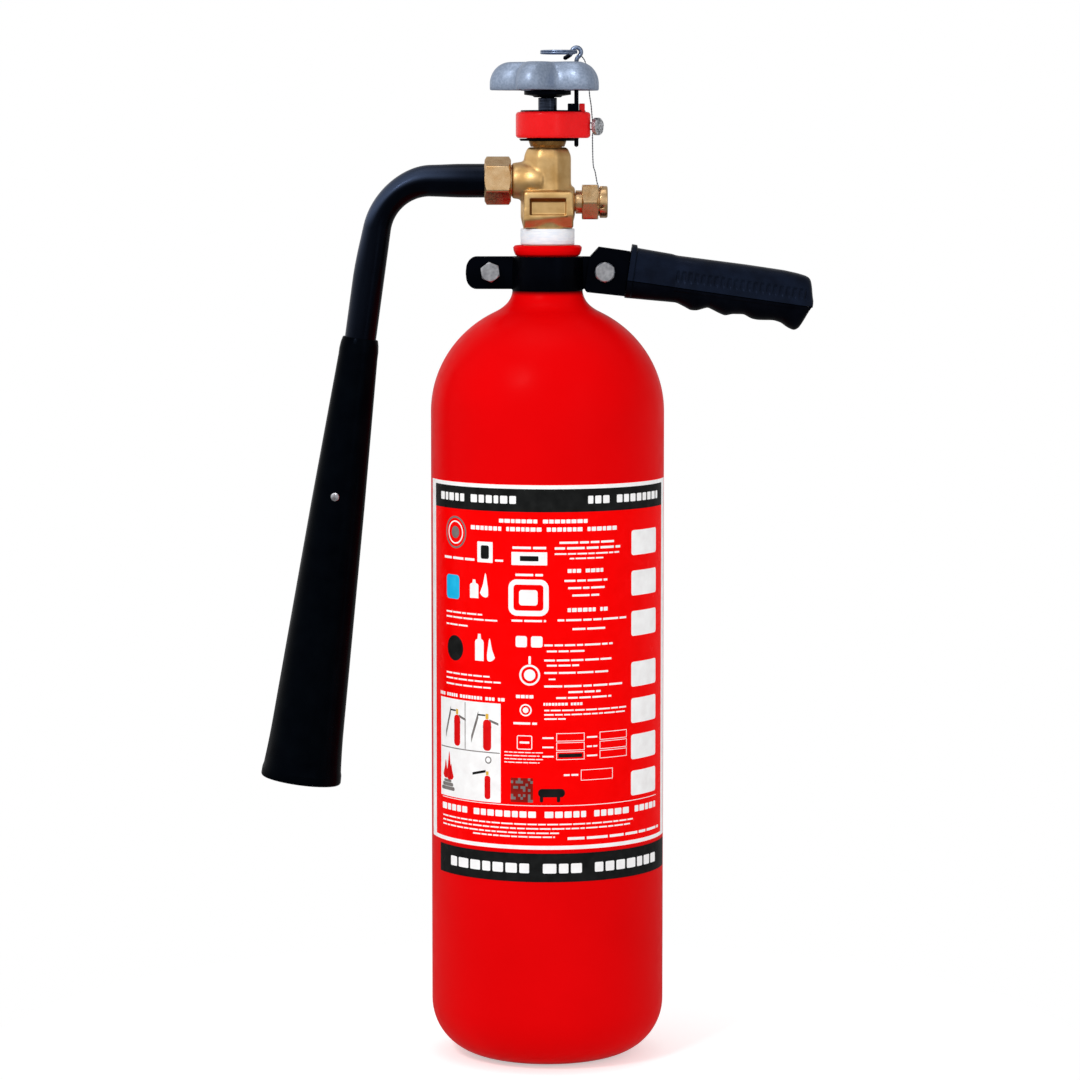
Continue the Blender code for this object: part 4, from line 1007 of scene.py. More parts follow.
bonnet = dict(flangeRadius=11.4, flangeTop=551.3, tubeRadius=9.0, tubeTop=563.0, bore=5.9)


def makeBonnet(b):
    # A flange on the body and a tube up from it; the gland nut stands in the tube.
    low, seat = span("bonnet")[0][2], valve["top"] + 0.25
    flange, tubeRadius, tubeTop = b["flangeRadius"], b["tubeRadius"], b["tubeTop"]
    profile = rounded([
        (b["bore"], low, 0), (8.6, low, 0.4), (8.6, seat, 0), (flange - 1.3, seat, 0.2),
        (flange, b["flangeTop"], 0.4), (tubeRadius, b["flangeTop"], 0.5),
        (tubeRadius, tubeTop, 0.3), (7.9, tubeTop, 0), (7.9, 555.6, 0), (b["bore"], 555.6, 0),
    ], 3)
    # painted shade: the bonnet's brass is a darker copy of the machined brass, for the shade under
    # the guard ring
    shadedBrass = turnedBrass("shadedBonnetBrass", "A97C44", "8A5F30", "B98A50")
    made = turned("bonnetTurned", profile, 128, closed=True)
    give(made, shadedBrass, "cylinder", ["bonnet"])
    profile = rounded([
        (b["bore"], 559.3, 0), (7.6, 559.3, 0), (7.6, 563.3, 0), (8.9, 563.3, 0.2),
        (8.9, 568.2, 0.8), (b["bore"], 568.2, 0.3),
    ], 3)
    made = turned("glandNutTurned", profile, 128, closed=True)
    give(made, brassTurned, "cylinder", ["gland_nut"])


makeBonnet(bonnet)
print("valve body made")

# relief plug and union nut

relief = dict(
    height=valve["reliefHeight"],
    across=20.6,
    hexStart=20.5,
    hexEnd=30.3,
    capEnd=35.9,
    capRadius=9.5,
    vents=4,
    firstVent=math.radians(197),
)


def makeRelief(r):
    # A hexagon on a neck, and a cap with one hole in its end and others round its side.
    centre = (0, 0, r["height"])
    start, edge, end, radius = r["hexStart"], r["hexEnd"], r["capEnd"], r["capRadius"]
    bar = hexBar("reliefHexagon", r["across"], start, edge, direction="x", centre=centre)
    profile = [(0, 9.0, 0), (5.7, 9.0, 0), (5.7, 16.7, 0), (7.0, 16.7, 0.3)]
    profile += [(7.0, start + 0.4, 0), (0, start + 0.4, 0)]
    neck = turned("reliefNeck", rounded(profile, 3), 96, "x", centre)
    profile = [(0, edge - 0.4, 0), (8.2, edge - 0.4, 0), (8.2, edge + 0.7, 0.15)]
    profile += [(radius, edge + 1.0, 0.25), (radius, end, 0.9), (0, end, 0)]
    cap = turned("reliefCap", rounded(profile, 3), 128, "x", centre)
    holes = [turned("ventMiddle", [(0, 20), (2.0, 20), (2.0, 60), (0, 60)], 24, "x", centre)]
    for angle in evenTurns(r["vents"]) + r["firstVent"]:
        x, y, z = np.moveaxis(turnedGrid([(0, 1.0), (1.3, 1.0), (1.3, 14.0), (0, 14.0)], 20), -1, 0)
        c, s = math.cos(angle), math.sin(angle)
        hole = np.stack([x + edge + 1.7, z * c - y * s, z * s + y * c], -1) + np.array(centre)
        holes.append(gridSolid("vent", hole, wrapColumns=True))
    carve(cap, *holes)
    made = merged("reliefPlug", [bar, neck, cap])
    give(made, brassTurned, "cylinder", ["relief_plug"])


makeRelief(relief)

union = dict(across=25.46, start=-37.6, end=-21.8, spin=math.radians(25), bore=10.4)


def makeUnion(u):
    # A hexagon nut about the outlet, turned about its own axis.
    centre = (0, 0, valve["outletHeight"])
    made = hexBar(
        "unionNut", u["across"], u["start"], u["end"], u["bore"], u["spin"], "x", centre, 240
    )
    give(made, brassTurned, "cylinder", ["union_nut"])


makeUnion(union)

# handwheel, its boss, spindle and nut


def blackMoulding(name, roughness, gloss, fine):
    # Moulded black plastic: a bluish black, satin, with a fine mould texture.
    return finish(
        name, "010205", roughness, gloss=gloss, sheen="A9C4FF",
        clouds=((12, 3), "010204", "030508"),
        patches=((5, 3), roughness - 0.06, roughness + 0.08), relief=[((fine, 2), 0.02)],
    )


blackPlastic = blackMoulding("mouldedBlackPlastic", 0.36, 0.05, 0.6)
# die-cast aluminium in blue-grey stoving paint: satin, faintly mottled by the rough casting
greyCasting = finish(
    "stovedGreyCasting", "8190A8", 0.34, 0.55, clouds=((1.3, 3, 0.6), "7D8BA2", "98A6BC"),
    patches=((2.0, 3), 0.36, 0.48), relief=[((1.1, 3), 0.06), ((6, 2), 0.2)],
)
# bright zinc plate on rolled steel: pale grey, slightly cloudy and finely pitted
zinc = finish(
    "brightZincPlate", "A2A3A8", 0.34, 1.0, clouds=((2.2, 4), "8C8D92", "B6B7BB"),
    patches=((1.6, 3), 0.28, 0.44), relief=[((0.6, 3), 0.02)],
)
# turned steel, blackened and oiled: nearly black with long bright streaks
spindleSteel = finish(
    "oiledBlackSteel", "20242D", 0.22, 1.0,
    clouds=((3, 2, 0.5, (0.3, 0.3, 8)), "14171E", "343B4A"), patches=((1.5, 3), 0.16, 0.3),
)

wheel = dict(
    top=598.0,
    bottom=581.3,
    tip=34.5,
    valley=22.9,
    lobes=5,
    firstLobe=math.radians(-112.0),
    fullness=1.25,  # the power that widens the lobes
    roundWidth=12.3,
    fall=13.0,
    wall=3.0,
    hub=10.5,
    bore=4.3,
    recess=8.6,
    recessFloor=593.0,
    pinPlace=17.2,
    pinHole=1.9,
    nutAcross=13.0,
    nutLow=593.3,
    nutHigh=596.6,
    stem=5.6,  # the spindle's radius, slimmer inside the wheel
    stemInside=4.0,
)


def wheelRim(angle, w):
    # The rim swings between the valleys and the tips with a cosine of five lobes.
    wave = (1 + np.cos(w["lobes"] * (angle - w["firstLobe"]))) / 2
    return w["valley"] + (w["tip"] - w["valley"]) * (1 - (1 - wave) ** w["fullness"])


def makeWheel(w):
    # One closed skin: recess, flat top, quarter-round lobes, rim, hollow underside and hub. Each
    # row of it has a radius and a height for every angle.
    angle = evenTurns(360)
    rim = wheelRim(angle, w)[None]
    top, low, wall, floor = w["top"], w["bottom"], w["wall"], w["recessFloor"]
    recess, hub, bore, under = w["recess"], w["hub"], w["bore"], top - wall * 0.9
    quarter = np.linspace(0, math.pi / 2, 22)[:, None]
    outerR = rim - w["roundWidth"] * (1 - np.sin(quarter))
    outerZ = top - w["fall"] * (1 - np.cos(quarter))
    rows = [
        (bore, floor), (recess - 0.5, floor), (recess, floor + 0.5), (recess, top - 0.6),
        (recess + 0.6, top), (recess + 1.4, top), (outerR, outerZ), (rim, low + 0.8),
        (rim - 0.35, low + 0.15), (rim - 0.8, low), (rim - wall + 0.6, low),
        (rim - wall, low + 0.6), (outerR[::-1] - wall, outerZ[::-1] - wall * 0.9),
        (hub + 0.9, under), (hub, under - 0.9), (hub, low + 0.4), (hub - 0.4, low), (bore, low),
    ]
    rows = [np.broadcast_arrays(radius, height, angle[None])[:2] for radius, height in rows]
    radius, height = (np.concatenate(parts) for parts in zip(*rows))
    grid = polar(radius, angle, height)
    made = gridSolid("handwheel_lobed", grid, wrapRows=True, wrapColumns=True, smooth=40)
    profile = [(0, 570), (w["pinHole"], 570), (w["pinHole"], 610), (0, 610)]
    carve(made, turned("pinHole", profile, 32, centre=(w["pinPlace"], 0, 0)))
    give(made, greyCasting, "handwheel", ["handwheel"])

    profile = rounded([
        (bore, 577.1, 0), (8.0, 577.1, 0.4), (9.0, 577.9, 0.4), (14.0, 578.6, 0.4),
        (14.0, 581.0, 0.3), (bore, 581.0, 0),
    ], 3)
    made = turned("wheelBoss", profile, 128, closed=True)
    give(made, blackPlastic, "handwheel", ["wheel_boss"])
    nut = hexBar("wheelNut", w["nutAcross"], w["nutLow"], w["nutHigh"], bore)
    give(nut, zinc, "handwheel", ["wheel_nut"])
    stem, slim = w["stem"], w["stemInside"]
    profile = rounded([
        (0, 524.3, 0), (4.6, 524.3, 0.3), (4.6, 527.0, 0), (stem, 530.0, 0),
        (stem, 576.8, 0.4), (slim, 576.8, 0.2), (slim, 597.0, 0.6), (0, 597.0, 0),
    ], 3)
    give(turned("spindleTurned", profile), spindleSteel, "handwheel", ["spindle"])


makeWheel(wheel)
print("handwheel made")

# guard ring and core


# moulded red plastic: bright, glossy and evenly coloured through
redPlastic = finish(
    "mouldedRedPlastic", "EE1216", 0.26, gloss=0.16, clouds=((10, 3), "E81014", "F0161B"),
    patches=((4, 2), 0.2, 0.32), relief=[((1.5, 2), 0.02)],
)

guard = dict(
    radius=19.0,
    lobePlace=17.6,
    lobeRadius=8.0,
    skin=2.6,
    bottom=552.9,
    top=568.5,
    lugTop=573.4,
    edge=2.0,
    bore=9.3,
    outlineSteps=160,
)


def hullRing(g, inset, height):
    # A large circle and a small one beside it, joined by the tangents that touch both.
    big, small = g["radius"] - inset, g["lobeRadius"] - inset
    split = math.acos((big - small) / g["lobePlace"])
    share = g["outlineSteps"] // 8
    wide = np.linspace(split, turnAll - split, g["outlineSteps"] - share)
    tight = np.linspace(-split, split, share)
    lobe = polar(small, tight, height) + (g["lobePlace"], 0, 0)
    return np.concatenate([polar(big, wide, height), lobe])


def makeGuard(g):
    # The guard ring is a section of (inset, height) carried round its outline; the core's deck
    # fills it at the top, round the spindle's hole, and stands on a hub and a post.
    low, top, skin, lugTop, bore = g["bottom"], g["top"], g["skin"], g["lugTop"], g["bore"]
    section = [(0, low, g["edge"]), (0, top, g["edge"]), (skin, top, 0.6), (skin, low, 0.6)]
    rings = np.stack([hullRing(g, inset, height) for inset, height in rounded(section, 5)])
    ring = gridSolid("guardShell", rings, wrapRows=True, wrapColumns=True, smooth=40)
    lug = roundBlock("guardLug", (18.8, -4.5, 560), (22.2, 4.5, lugTop), 0.5)
    give(merged("guardRing", [ring, lug]), redPlastic, "guard_ring", ["guard_ring"])

    fit, deckLow, deckHigh = skin + 0.3, top - 2.2, top + 0.9
    outline = hullRing(g, fit, deckLow)
    bearing = np.arctan2(outline[:, 1], outline[:, 0])
    rings = [outline, hullRing(g, fit, deckHigh - 0.3), hullRing(g, fit + 0.3, deckHigh)]
    rings += [polar(bore, bearing, deckHigh), polar(bore, bearing, deckLow)]
    deck = gridSolid("coreDeck", np.stack(rings), wrapRows=True, wrapColumns=True)
    profile = rounded([
        (bore, 551.9, 0), (12.0, 551.9, 0.2), (16.2, 551.2, 0.3), (17.0, low - 0.3, 0.2),
        (12.2, low - 0.3, 0.6), (12.2, deckLow + 0.5, 0), (bore, deckLow + 0.5, 0),
    ], 3)
    hub = turned("coreHub", profile, 128, closed=True)
    post = roundBlock("corePost", (12.0, -4.2, 551.6), (18.6, 4.2, lugTop), 0.4)
    carve(post, roundBlock("coreTrim", (16.9, -10, 545), (26, 10, 552.4)))
    made = merged("guardCore", [hub, post, deck])
    give(made, blackPlastic, "guard_ring", ["guard_core"])


makeGuard(guard)
print("guard made")

# safety pin, pull ring, seal and its wires

pin = dict(
    place=wheel["pinPlace"],
    radius=1.3,
    tip=547.6,
    eyeHeight=603.8,
    eyeRadius=2.75,
    ringRadius=10.5,
    ringWire=0.62,
    ringPitch=1.15,
)


# zinc plate gone dull: blue-grey on the eye and the ring, and nearly black on the leg and the
# short end, where the mesh says so
pinSteel = finish(
    "agedZincPlate", "8090AB", 0.3, 1.0, clouds=((1.6, 3), "63718B", "9DACC6"),
    patches=((1.6, 3), 0.26, 0.4), mark=("nearBlack", "0B0D12"),
)


def makePin(p):
    # One bent wire: a leg, an eye on top and a short leg, with its ends rounded.
    place, radius, height, spacing = p["place"], p["radius"], p["eyeHeight"], 0.5
    turnBy = np.radians(np.linspace(-30, 170, 24))
    across, rise = polar(p["eyeRadius"], turnBy, 0)[:, :2].T
    eye = np.stack([place + across, 0 * across, height + rise], -1)
    leg = np.array([(place, 0, z) for z in np.linspace(p["tip"], 598.0, 12)])
    neck = np.array([(place + 0.35, 0, 600.0), (place + 1.4, 0, 601.3)])
    short = np.array([(13.6, 0, 602.4), (11.6, 0, 601.0), (9.4, 0, 599.8)])
    path = smoothPath(np.vstack([leg, neck, eye, short]), spacing)
    order = np.arange(len(path))
    fromEnd = np.clip(np.minimum(order, order[::-1]) * spacing / radius, 0, 1)
    radii = radius * np.sqrt(np.clip(1 - (1 - fromEnd) ** 2, 0.02, 1))
    wire = tubeGrid(path, radii, 20)
    made = gridSolid("pinWire", wire, wrapColumns=True, capEnds=True, smooth=60)

    # nearly black below the wheel's top and on the short end
    def nearBlack(places, normals):
        x, y, z = places.T
        return np.maximum(ease((600.0 - z) / 2), ease((14.6 - x) / 1.5) * ease(603.4 - z))

    keepOnPoints(made, "nearBlack", nearBlack)
    give(made, pinSteel, "safety_pin", ["safety_pin"])

    # the ring is one wire wound twice round and pressed flat
    share = np.linspace(0, 1, 240)
    lift = p["ringPitch"] * np.tanh((share - 0.5) * 14) / 2
    path = polar(p["ringRadius"], share * 2 * turnAll + 0.5, lift)
    path = path + (place - p["ringRadius"], 0, height)
    grid = tubeGrid(path, p["ringWire"], 14, (0, 0, 1))
    made = gridSolid("pullRing", grid, wrapColumns=True, capEnds=True, smooth=60)
    give(made, pinSteel, "pull_ring", ["pull_ring"])


makePin(pin)


seal = dict(
    place=(29.8, 0.0, 559.8),
    radius=5.2,
    half=1.8,
    spin=math.radians(58),
    grooveGap=2.6,
    grooveDepth=0.28,
    strand=0.2,
    lay=3.2,
    endRadius=0.42,
    hookRadius=2.45,
    ends=((1.6, 2.0, 2.2), (-1.4, -1.8, -1.6)),  # each cut end's heights above the middle
)
# soft seal metal, squeezed in pliers: pale, dull and dented; its colour follows the dents, with
# painted shade in the creases and painted light on the raised parts
creases = (1.6, 4, 0.6, (1, 1, 1), 0.8)
sealMetal = finish(
    "crimpedSealMetal", "C8CACE", 0.4, 1.0, clouds=(creases, "5A5D63", "E4E6EA", 0.34, 0.56),
    relief=[(creases, 0.35)],
)
# thin drawn steel wire
wireSteel = finish(
    "drawnSteelWire", "6A6F78", 0.3, 1.0, clouds=((0.8, 2), "40444D", "8A8F98")
)


def twistedWire(name, points, s):
    # Two strands, each a helix about the wire's own path.
    path, never = smoothPath(points, 0.28), (0.3, 1.0, 0.2)
    ahead = unit(np.gradient(path, axis=0))
    side = unit(np.cross(ahead, never))
    upward = np.cross(ahead, side)
    strands = []
    for start in (0, math.pi):
        phase = (alongPath(path) / s["lay"] * turnAll + start)[:, None]
        strand = path + (side * np.cos(phase) + upward * np.sin(phase)) * s["strand"]
        grid = tubeGrid(strand, s["strand"], 6, never)
        strands.append(gridSolid(f"{name}Strand", grid, wrapColumns=True, capEnds=True, smooth=60))
    return merged(name, strands)


def makeSeal(s):
    # A disc with a rounded rim whose face carries the pliers' crossed grooves.
    x, y, z = s["place"]
    radius = np.concatenate([np.linspace(0, 1, 24), np.full(6, 1.0), np.linspace(1, 0, 24)])
    across = np.concatenate([np.full(24, 1.0), np.linspace(0.6, -0.6, 6), np.full(24, -1.0)])
    radius, across, angle = radius[:, None], across[:, None], evenTurns(72)
    u = radius * np.cos(angle) * s["radius"] * (1 + 0.03 * np.sin(5 * angle))
    w = radius * np.sin(angle) * s["radius"] * (1 + 0.04 * np.cos(3 * angle))
    lines = [np.abs((slant / s["grooveGap"]) % 1 - 0.5) < 0.16 for slant in (u + w, u - w)]
    groove = s["grooveDepth"] * (1.0 * lines[0] + lines[1]) * (np.abs(across) > 0.9)
    depth = across * (s["half"] * (1 - 0.32 * radius**4) - groove * (radius < 0.9))
    c, t = math.cos(s["spin"]), math.sin(s["spin"])
    grid = np.stack([x + u * c - depth * t, y + u * t + depth * c, z + w], -1)
    made = gridSolid("tamperSeal", grid, wrapColumns=True, smooth=50)
    give(made, sealMetal, "safety_pin", ["tamper_seal"])

    # one wire goes up from the seal and hooks round the pin's eye
    eyeX, eyeZ = polar(s["hookRadius"], np.radians(np.linspace(-35, 205, 8)), 0)[:, :2].T
    hook = np.stack([pin["place"] + eyeX, np.full(8, 3.8), pin["eyeHeight"] + eyeZ], -1)
    upper = [
        (x - 2.6, 0, z + 0.6), (x - 3.2, 0, z + 5.4), (26.0, 0, 572), (25.0, -0.3, 579),
        (24.6, -0.3, 587), (23.8, 0.2, 593), (22.4, 1.6, 598.2), (20.8, 3.2, 600.9), *hook,
    ]
    wires = [twistedWire("sealWireUp", upper, s)]
    # its two cut ends stand out of the seal towards the ring
    for first, middle, last in s["ends"]:
        end = [(x - 1.5, -0.6, z + first), (x - 3.2, -1.0, z + middle), (x - 4.6, -1.2, z + last)]
        grid = tubeGrid(smoothPath(end, 0.4), s["endRadius"], 8)
        wires.append(gridSolid("wireEnd", grid, wrapColumns=True, capEnds=True))
    give(merged("sealWire", wires), wireSteel, "safety_pin", ["tamper_wire"])
    # the other goes down to the relief plug
    plug = relief["height"]
    lower = [
        (31.0, 0, plug + 8.1), (29.6, 0, plug + 11.6), (28.5, 0, 532.5), (27.3, 0, 537.0),
        (26.9, 0, 547.0), (x - 3.0, 0, z - 4.0),
    ]
    tail = twistedWire("sealWireTail", lower, s)
    give(tail, wireSteel, "cylinder", ["tamper_wire_tail"])


makeSeal(seal)
print("pin and seal made")

# discharge tube and horn


def blackEnamel(name, roughness, gloss):
    # Black enamel on steel: bluish black with a tight gloss, and a painted sheen, a pale bluish
    # band, where the mesh says so.
    return finish(
        name, "010204", roughness, gloss=gloss, sheen="A9C4FF",
        clouds=((15, 3), "010102", "020306"),
        patches=((6, 3), roughness - 0.05, roughness + 0.08), relief=[((2.0, 2), 0.02)],
        mark=("paintedSheen", "4C5A76"),
    )


blackPaint = blackEnamel("blackEnamelledSteel", 0.26, 0.03)
tubeEnamel = blackEnamel("glossBlackTube", 0.22, 0.08)
hornPlastic = blackMoulding("mouldedBlackHorn", 0.22, 0.016, 1.2)

tube = dict(
    radius=9.4,
    swell=0.65,  # the tube is thicker before its bend
    swellStart=-72.0,
    swellEnd=-50.0,
    wall=2.0,
    cornerPlace=-99.0,
    bend=33.0,
    start=-31.3,
    flattening=0.3,
    flatLength=80.0,
)
horn = dict(
    tilt=math.radians(7.95),
    drop=94.0,  # from the outlet's axis down to the horn's top
    insert=104.0,  # how far the tube goes down inside the horn
    wall=2.2,
    topRadius=12.4,
    taper=9.9,
    taperStart=11.0,
    taperLength=239.0,
    slim=0.6,  # how much slimmer the top is, and over which length it grows back
    slimLength=90.0,
    flare=1.2,
    flareStart=235.0,
    flareLength=35.0,
    lip=262.0,
    screw=95.4,
    screwTurn=math.radians(-6.3),  # from the front round to the left
)
hornTop = (
    tube["cornerPlace"] - math.tan(horn["tilt"]) * horn["drop"],
    0.0,
    valve["outletHeight"] - horn["drop"],
)


def makeTube(t, h):
    # Straight out of the nut, one round bend, then straight down the horn.
    sweep = math.pi / 2 - h["tilt"]
    leg = t["bend"] * math.tan(sweep / 2)
    start = t["cornerPlace"] + leg
    angle = np.linspace(0, sweep, 40)
    bend = np.stack([start - t["bend"] * np.sin(angle), -t["bend"] * (1 - np.cos(angle))], -1)
    down = np.array([-math.sin(h["tilt"]), -math.cos(h["tilt"])])
    reach = h["drop"] / math.cos(h["tilt"]) + h["insert"]
    low = np.array([t["cornerPlace"], 0]) + down * np.linspace(leg, reach, 30)[1:, None]
    first = np.stack([np.linspace(t["start"], start, 8)[:-1], np.zeros(7)], -1)
    flat = np.vstack([first, bend, low])
    path = np.stack([flat[:, 0], np.zeros(len(flat)), flat[:, 1] + valve["outletHeight"]], -1)
    # the outside of the bend, and a little beyond it, is drawn in, as in any bent tube
    along = alongPath(path)
    along -= along[len(first)]
    turnedBy = np.clip(along / t["bend"], 0, sweep)
    outward = np.stack([-np.sin(turnedBy), 0 * along, np.cos(turnedBy)], -1)
    drawn = t["flattening"] * np.sin(np.clip(along / t["flatLength"], 0, 1) ** 0.75 * math.pi) ** 2
    swell = t["swell"] * ease((path[:, 0] - t["swellStart"]) / (t["swellEnd"] - t["swellStart"]))

    def wall(radius):
        grid = tubeGrid(path, radius + swell, 64)
        proud = np.clip((grid - path[:, None]) @ outward[..., None], 0, None)[..., 0]
        return grid - (proud * drawn[:, None])[..., None] * outward[:, None]

    grid = np.concatenate([wall(t["radius"]), wall(t["radius"] - t["wall"])[::-1]])
    made = gridSolid("tubeBent", grid, wrapRows=True, wrapColumns=True, smooth=50)
    foot = t["start"] - 2.9
    flange = [(8.6, foot, 0), (10.7, foot, 0.4), (10.7, t["start"], 0.4), (8.6, t["start"], 0)]
    centre = (0, 0, valve["outletHeight"])
    collar = turned("tubeFlange", rounded(flange, 3), 96, "x", centre, closed=True)
    made = merged("dischargeTube", [made, collar])

    def paintedSheen(places, normals):
        # Painted sheen: a pale band on what faces up, stronger on the bend than by the nut.
        up = normals[:, 2]
        film = 0.5 * ease((up - 0.04) / 0.3) * (1 - 0.6 * ease((up - 0.3) / 0.7))
        return film * (0.12 + 0.88 * ease((-places[:, 0] - 42) / 44))

    keepOnPoints(made, "paintedSheen", paintedSheen)
    give(made, tubeEnamel, "horn", ["discharge_tube"])


makeTube(tube, horn)


def hornRadius(s, h):
    # Along the horn: slim at the tube, then a straight taper, and a flare at the mouth.
    down = s - h["taperStart"]
    slim = h["slim"] * np.clip(1 - down / h["slimLength"], 0, 1)
    taper = h["taper"] * np.clip(down, 0, None) / h["taperLength"]
    flare = np.clip((s - h["flareStart"]) / h["flareLength"], 0, None) ** 2 * h["flare"]
    return h["topRadius"] + taper - slim + flare


def makeHorn(h):
    # The outer wall down to its lip at the mouth, and the inner one back up.
    outer = np.concatenate([[7.2, 9.0], np.linspace(11, h["lip"], 60)])
    inner = np.linspace(h["lip"] - 4, 16, 30)
    end = hornRadius(h["lip"], h)
    lead = rounded([(9.8, 0, 0.4), (10.6, 0, 0.5), (11.4, -3.4, 1.2), (11.75, -6.6, 0)])
    lip = rounded([
        (end, -h["lip"], 0), (24.1, -264.5, 0.8), (24.3, -269.9, 1.5), (22.0, -270.0, 0.8),
        (end - h["wall"], -263.0, 0),
    ])
    outside = np.stack([hornRadius(outer, h), -outer], -1)
    inside = np.stack([hornRadius(inner, h) - h["wall"], -inner], -1)
    profile = np.vstack([lead, outside, lip, inside, [(9.8, -14.0)]])
    place = aboutY(turnedGrid(profile, 160), h["tilt"], hornTop)
    made = gridSolid("hornMoulded", place, wrapRows=True, wrapColumns=True, smooth=40)
    give(made, hornPlastic, "horn", ["horn"])

    face = hornRadius(h["screw"], h)
    head = rounded([
        (0, face - 4, 0), (1.5, face - 4, 0), (1.5, face + 0.1, 0), (2.7, face + 0.1, 0.2),
        (2.5, face + 0.9, 0.6), (0, face + 1.5, 0),
    ])

    def onHorn(points):
        # Turned about the horn's own axis, moved down it and tilted with it.
        x, y, z = np.moveaxis(points, -1, 0)
        c, s = math.cos(h["screwTurn"]), math.sin(h["screwTurn"])
        seat = np.stack([x * c - y * s, x * s + y * c, z - h["screw"]], -1)
        return aboutY(seat, h["tilt"], hornTop)

    grid = onHorn(placed(turnedGrid(head, 48), "front"))
    screw = gridSolid("hornScrewHead", grid, wrapColumns=True)
    carve(screw, moved(roundBlock("screwSlot", (-0.4, -30, -5), (0.45, -face - 0.8, 5)), onHorn))
    give(screw, zinc, "horn", ["horn_screw"])


makeHorn(horn)
print("tube and horn made")

# neck clamp: two bent straps, their bolts and nuts

clamp = dict(
    height=473.3,
    width=19.4,
    strapDrop=0.5,  # the straps hang this much below the bolts' height
    belly=1.1,  # and their lower edge a little more where they go round the neck
    left=-48.9,
    right=42.6,
    bar=3.2,
    earGap=2.0,  # from the middle plane to an ear's inner face
    insideRadius=18.3,
    fillet=4.0,
    endReach=6.4,  # how far an ear's round corner reaches along it, and down its end
    endDrop=8.2,
    edge=0.55,
    boltPlace=34.2,
    boltAcross=10.7,
    boltHead=5.0,
    nutHeight=6.0,
    threadRadius=3.98,
    pitch=1.25,
    tightFace=5.5,  # where the heads and nuts bear, from the middle plane: on the ears, and
    wideFace=9.8,  # on the right, where the bracket lies between
)


def strapPath(c):
    # An ear, a bend on to the neck, half a turn round it, and the same on the other side.
    middleY = c["earGap"] + c["fillet"]
    middleX = math.sqrt((c["insideRadius"] + c["fillet"]) ** 2 - middleY**2)
    lean = math.atan2(middleY, middleX)
    steps = np.array([0, 0.4, 1.0, 1.8, 2.8, 4.0, 5.2, 6.4, 9.0])
    ear = np.stack([steps, np.full(9, -c["earGap"]), 0 * steps], -1)
    bend = polar(c["fillet"], np.linspace(math.pi / 2, lean, 10), 0) - (middleX, middleY, 0)
    mirror = (-1, 1, 1)
    bends = [
        ear + (c["left"], 0, 0),
        bend,
        polar(c["insideRadius"], np.linspace(math.pi + lean, turnAll - lean, 60)[1:-1], 0),
        bend[::-1] * mirror,
        ear[::-1] * mirror + (c["right"], 0, 0),
    ]
    return np.vstack(bends)[:, :2]


def makeStrap(name, node, c, behind):
    # The bar's rounded section carried along the path; the ears' corners are cut round.
    path = strapPath(c)
    ahead = unit(np.gradient(path, axis=0))
    outward = np.stack([ahead[:, 1], -ahead[:, 0]], -1)
    toEnd = np.minimum(path[:, 0] - c["left"], c["right"] - path[:, 0])
    inside = np.clip(1 - toEnd / c["endReach"], 0, 1)
    half = c["width"] / 2 - c["endDrop"] * (1 - np.sqrt(1 - inside**2))
    pull = c["edge"] * (1 - np.sqrt(np.clip(toEnd / c["edge"], 0, 1)))
    tall = c["width"] / 2
    corners = [(0, -tall), (c["bar"], -tall), (c["bar"], tall), (0, tall)]
    section = rounded([(a, b, c["edge"]) for a, b in corners], 3)
    side = np.sign(section[:, 1])
    thin = (1 - pull / c["bar"] * 2)[:, None] * (section[:, 0] - c["bar"] / 2) + c["bar"] / 2
    level = section[:, 1] - side * tall + side * (half - pull)[:, None] - c["strapDrop"]
    belly = c["belly"] * ease((c["insideRadius"] + c["bar"] - np.abs(path[:, 0])) / 3)
    level -= (side < 0) * belly[:, None]
    flat = path[:, None] + outward[:, None] * thin[..., None]
    if behind:
        flat = -flat
    grid = np.concatenate([flat, level[..., None] + c["height"]], -1)
    made = gridSolid(name, grid, wrapColumns=True, capEnds=True, smooth=40)
    give(made, blackPaint, "cylinder", [node])


makeStrap("clampFrontStrap", "clamp_front_strap", clamp, False)
mirrored = dict(clamp, left=-clamp["right"], right=-clamp["left"])
makeStrap("clampRearStrap", "clamp_rear_strap", mirrored, True)


def threadGrid(radius, pitch, low, high):
    # A vee thread: the radius falls and rises once for each turn along the height.
    height = np.linspace(low, high, int((high - low) / pitch * 8) + 1)[:, None]
    angle = evenTurns(48)
    phase = (height / pitch - angle[None] / turnAll) % 1.0
    depth = pitch * 0.6 * np.abs(2 * phase - 1)
    ends = np.clip(1 - (height - low), 0, 1) * 0.9
    return polar(np.minimum(radius - depth, radius - ends), angle, height)


def makeBolt(name, node, place, face, tail, spin, c):
    # Head in front with its turned chamfer, plain shank, and thread at the end behind.
    centre, across, radius = (place, 0, c["height"]), c["boltAcross"], c["threadRadius"]
    head = hexBar(
        f"{name}Head", across, face, face + c["boltHead"], 0.0, spin, "front", centre, lowCone=False
    )
    profile = [(0, face + 1), (radius - 0.03, face + 1), (radius - 0.03, -face - 1), (0, -face - 1)]
    shank = turned(f"{name}Shank", profile, 48, "front", centre)
    grid = placed(threadGrid(radius, c["pitch"], -tail, -face + 0.5), "front", centre)
    thread = gridSolid(f"{name}Thread", grid, wrapColumns=True, capEnds=True, smooth=25)
    give(merged(name, [head, shank, thread]), zinc, "cylinder", [node])


def makeNut(name, node, place, face, spin, c):
    # A hexagon nut on the bolt's thread, behind.
    centre, across, bore = (place, 0, c["height"]), c["boltAcross"], c["threadRadius"] + 0.07
    made = hexBar(name, across, -face - c["nutHeight"], -face, bore, spin, "front", centre)
    give(made, zinc, "cylinder", [node])


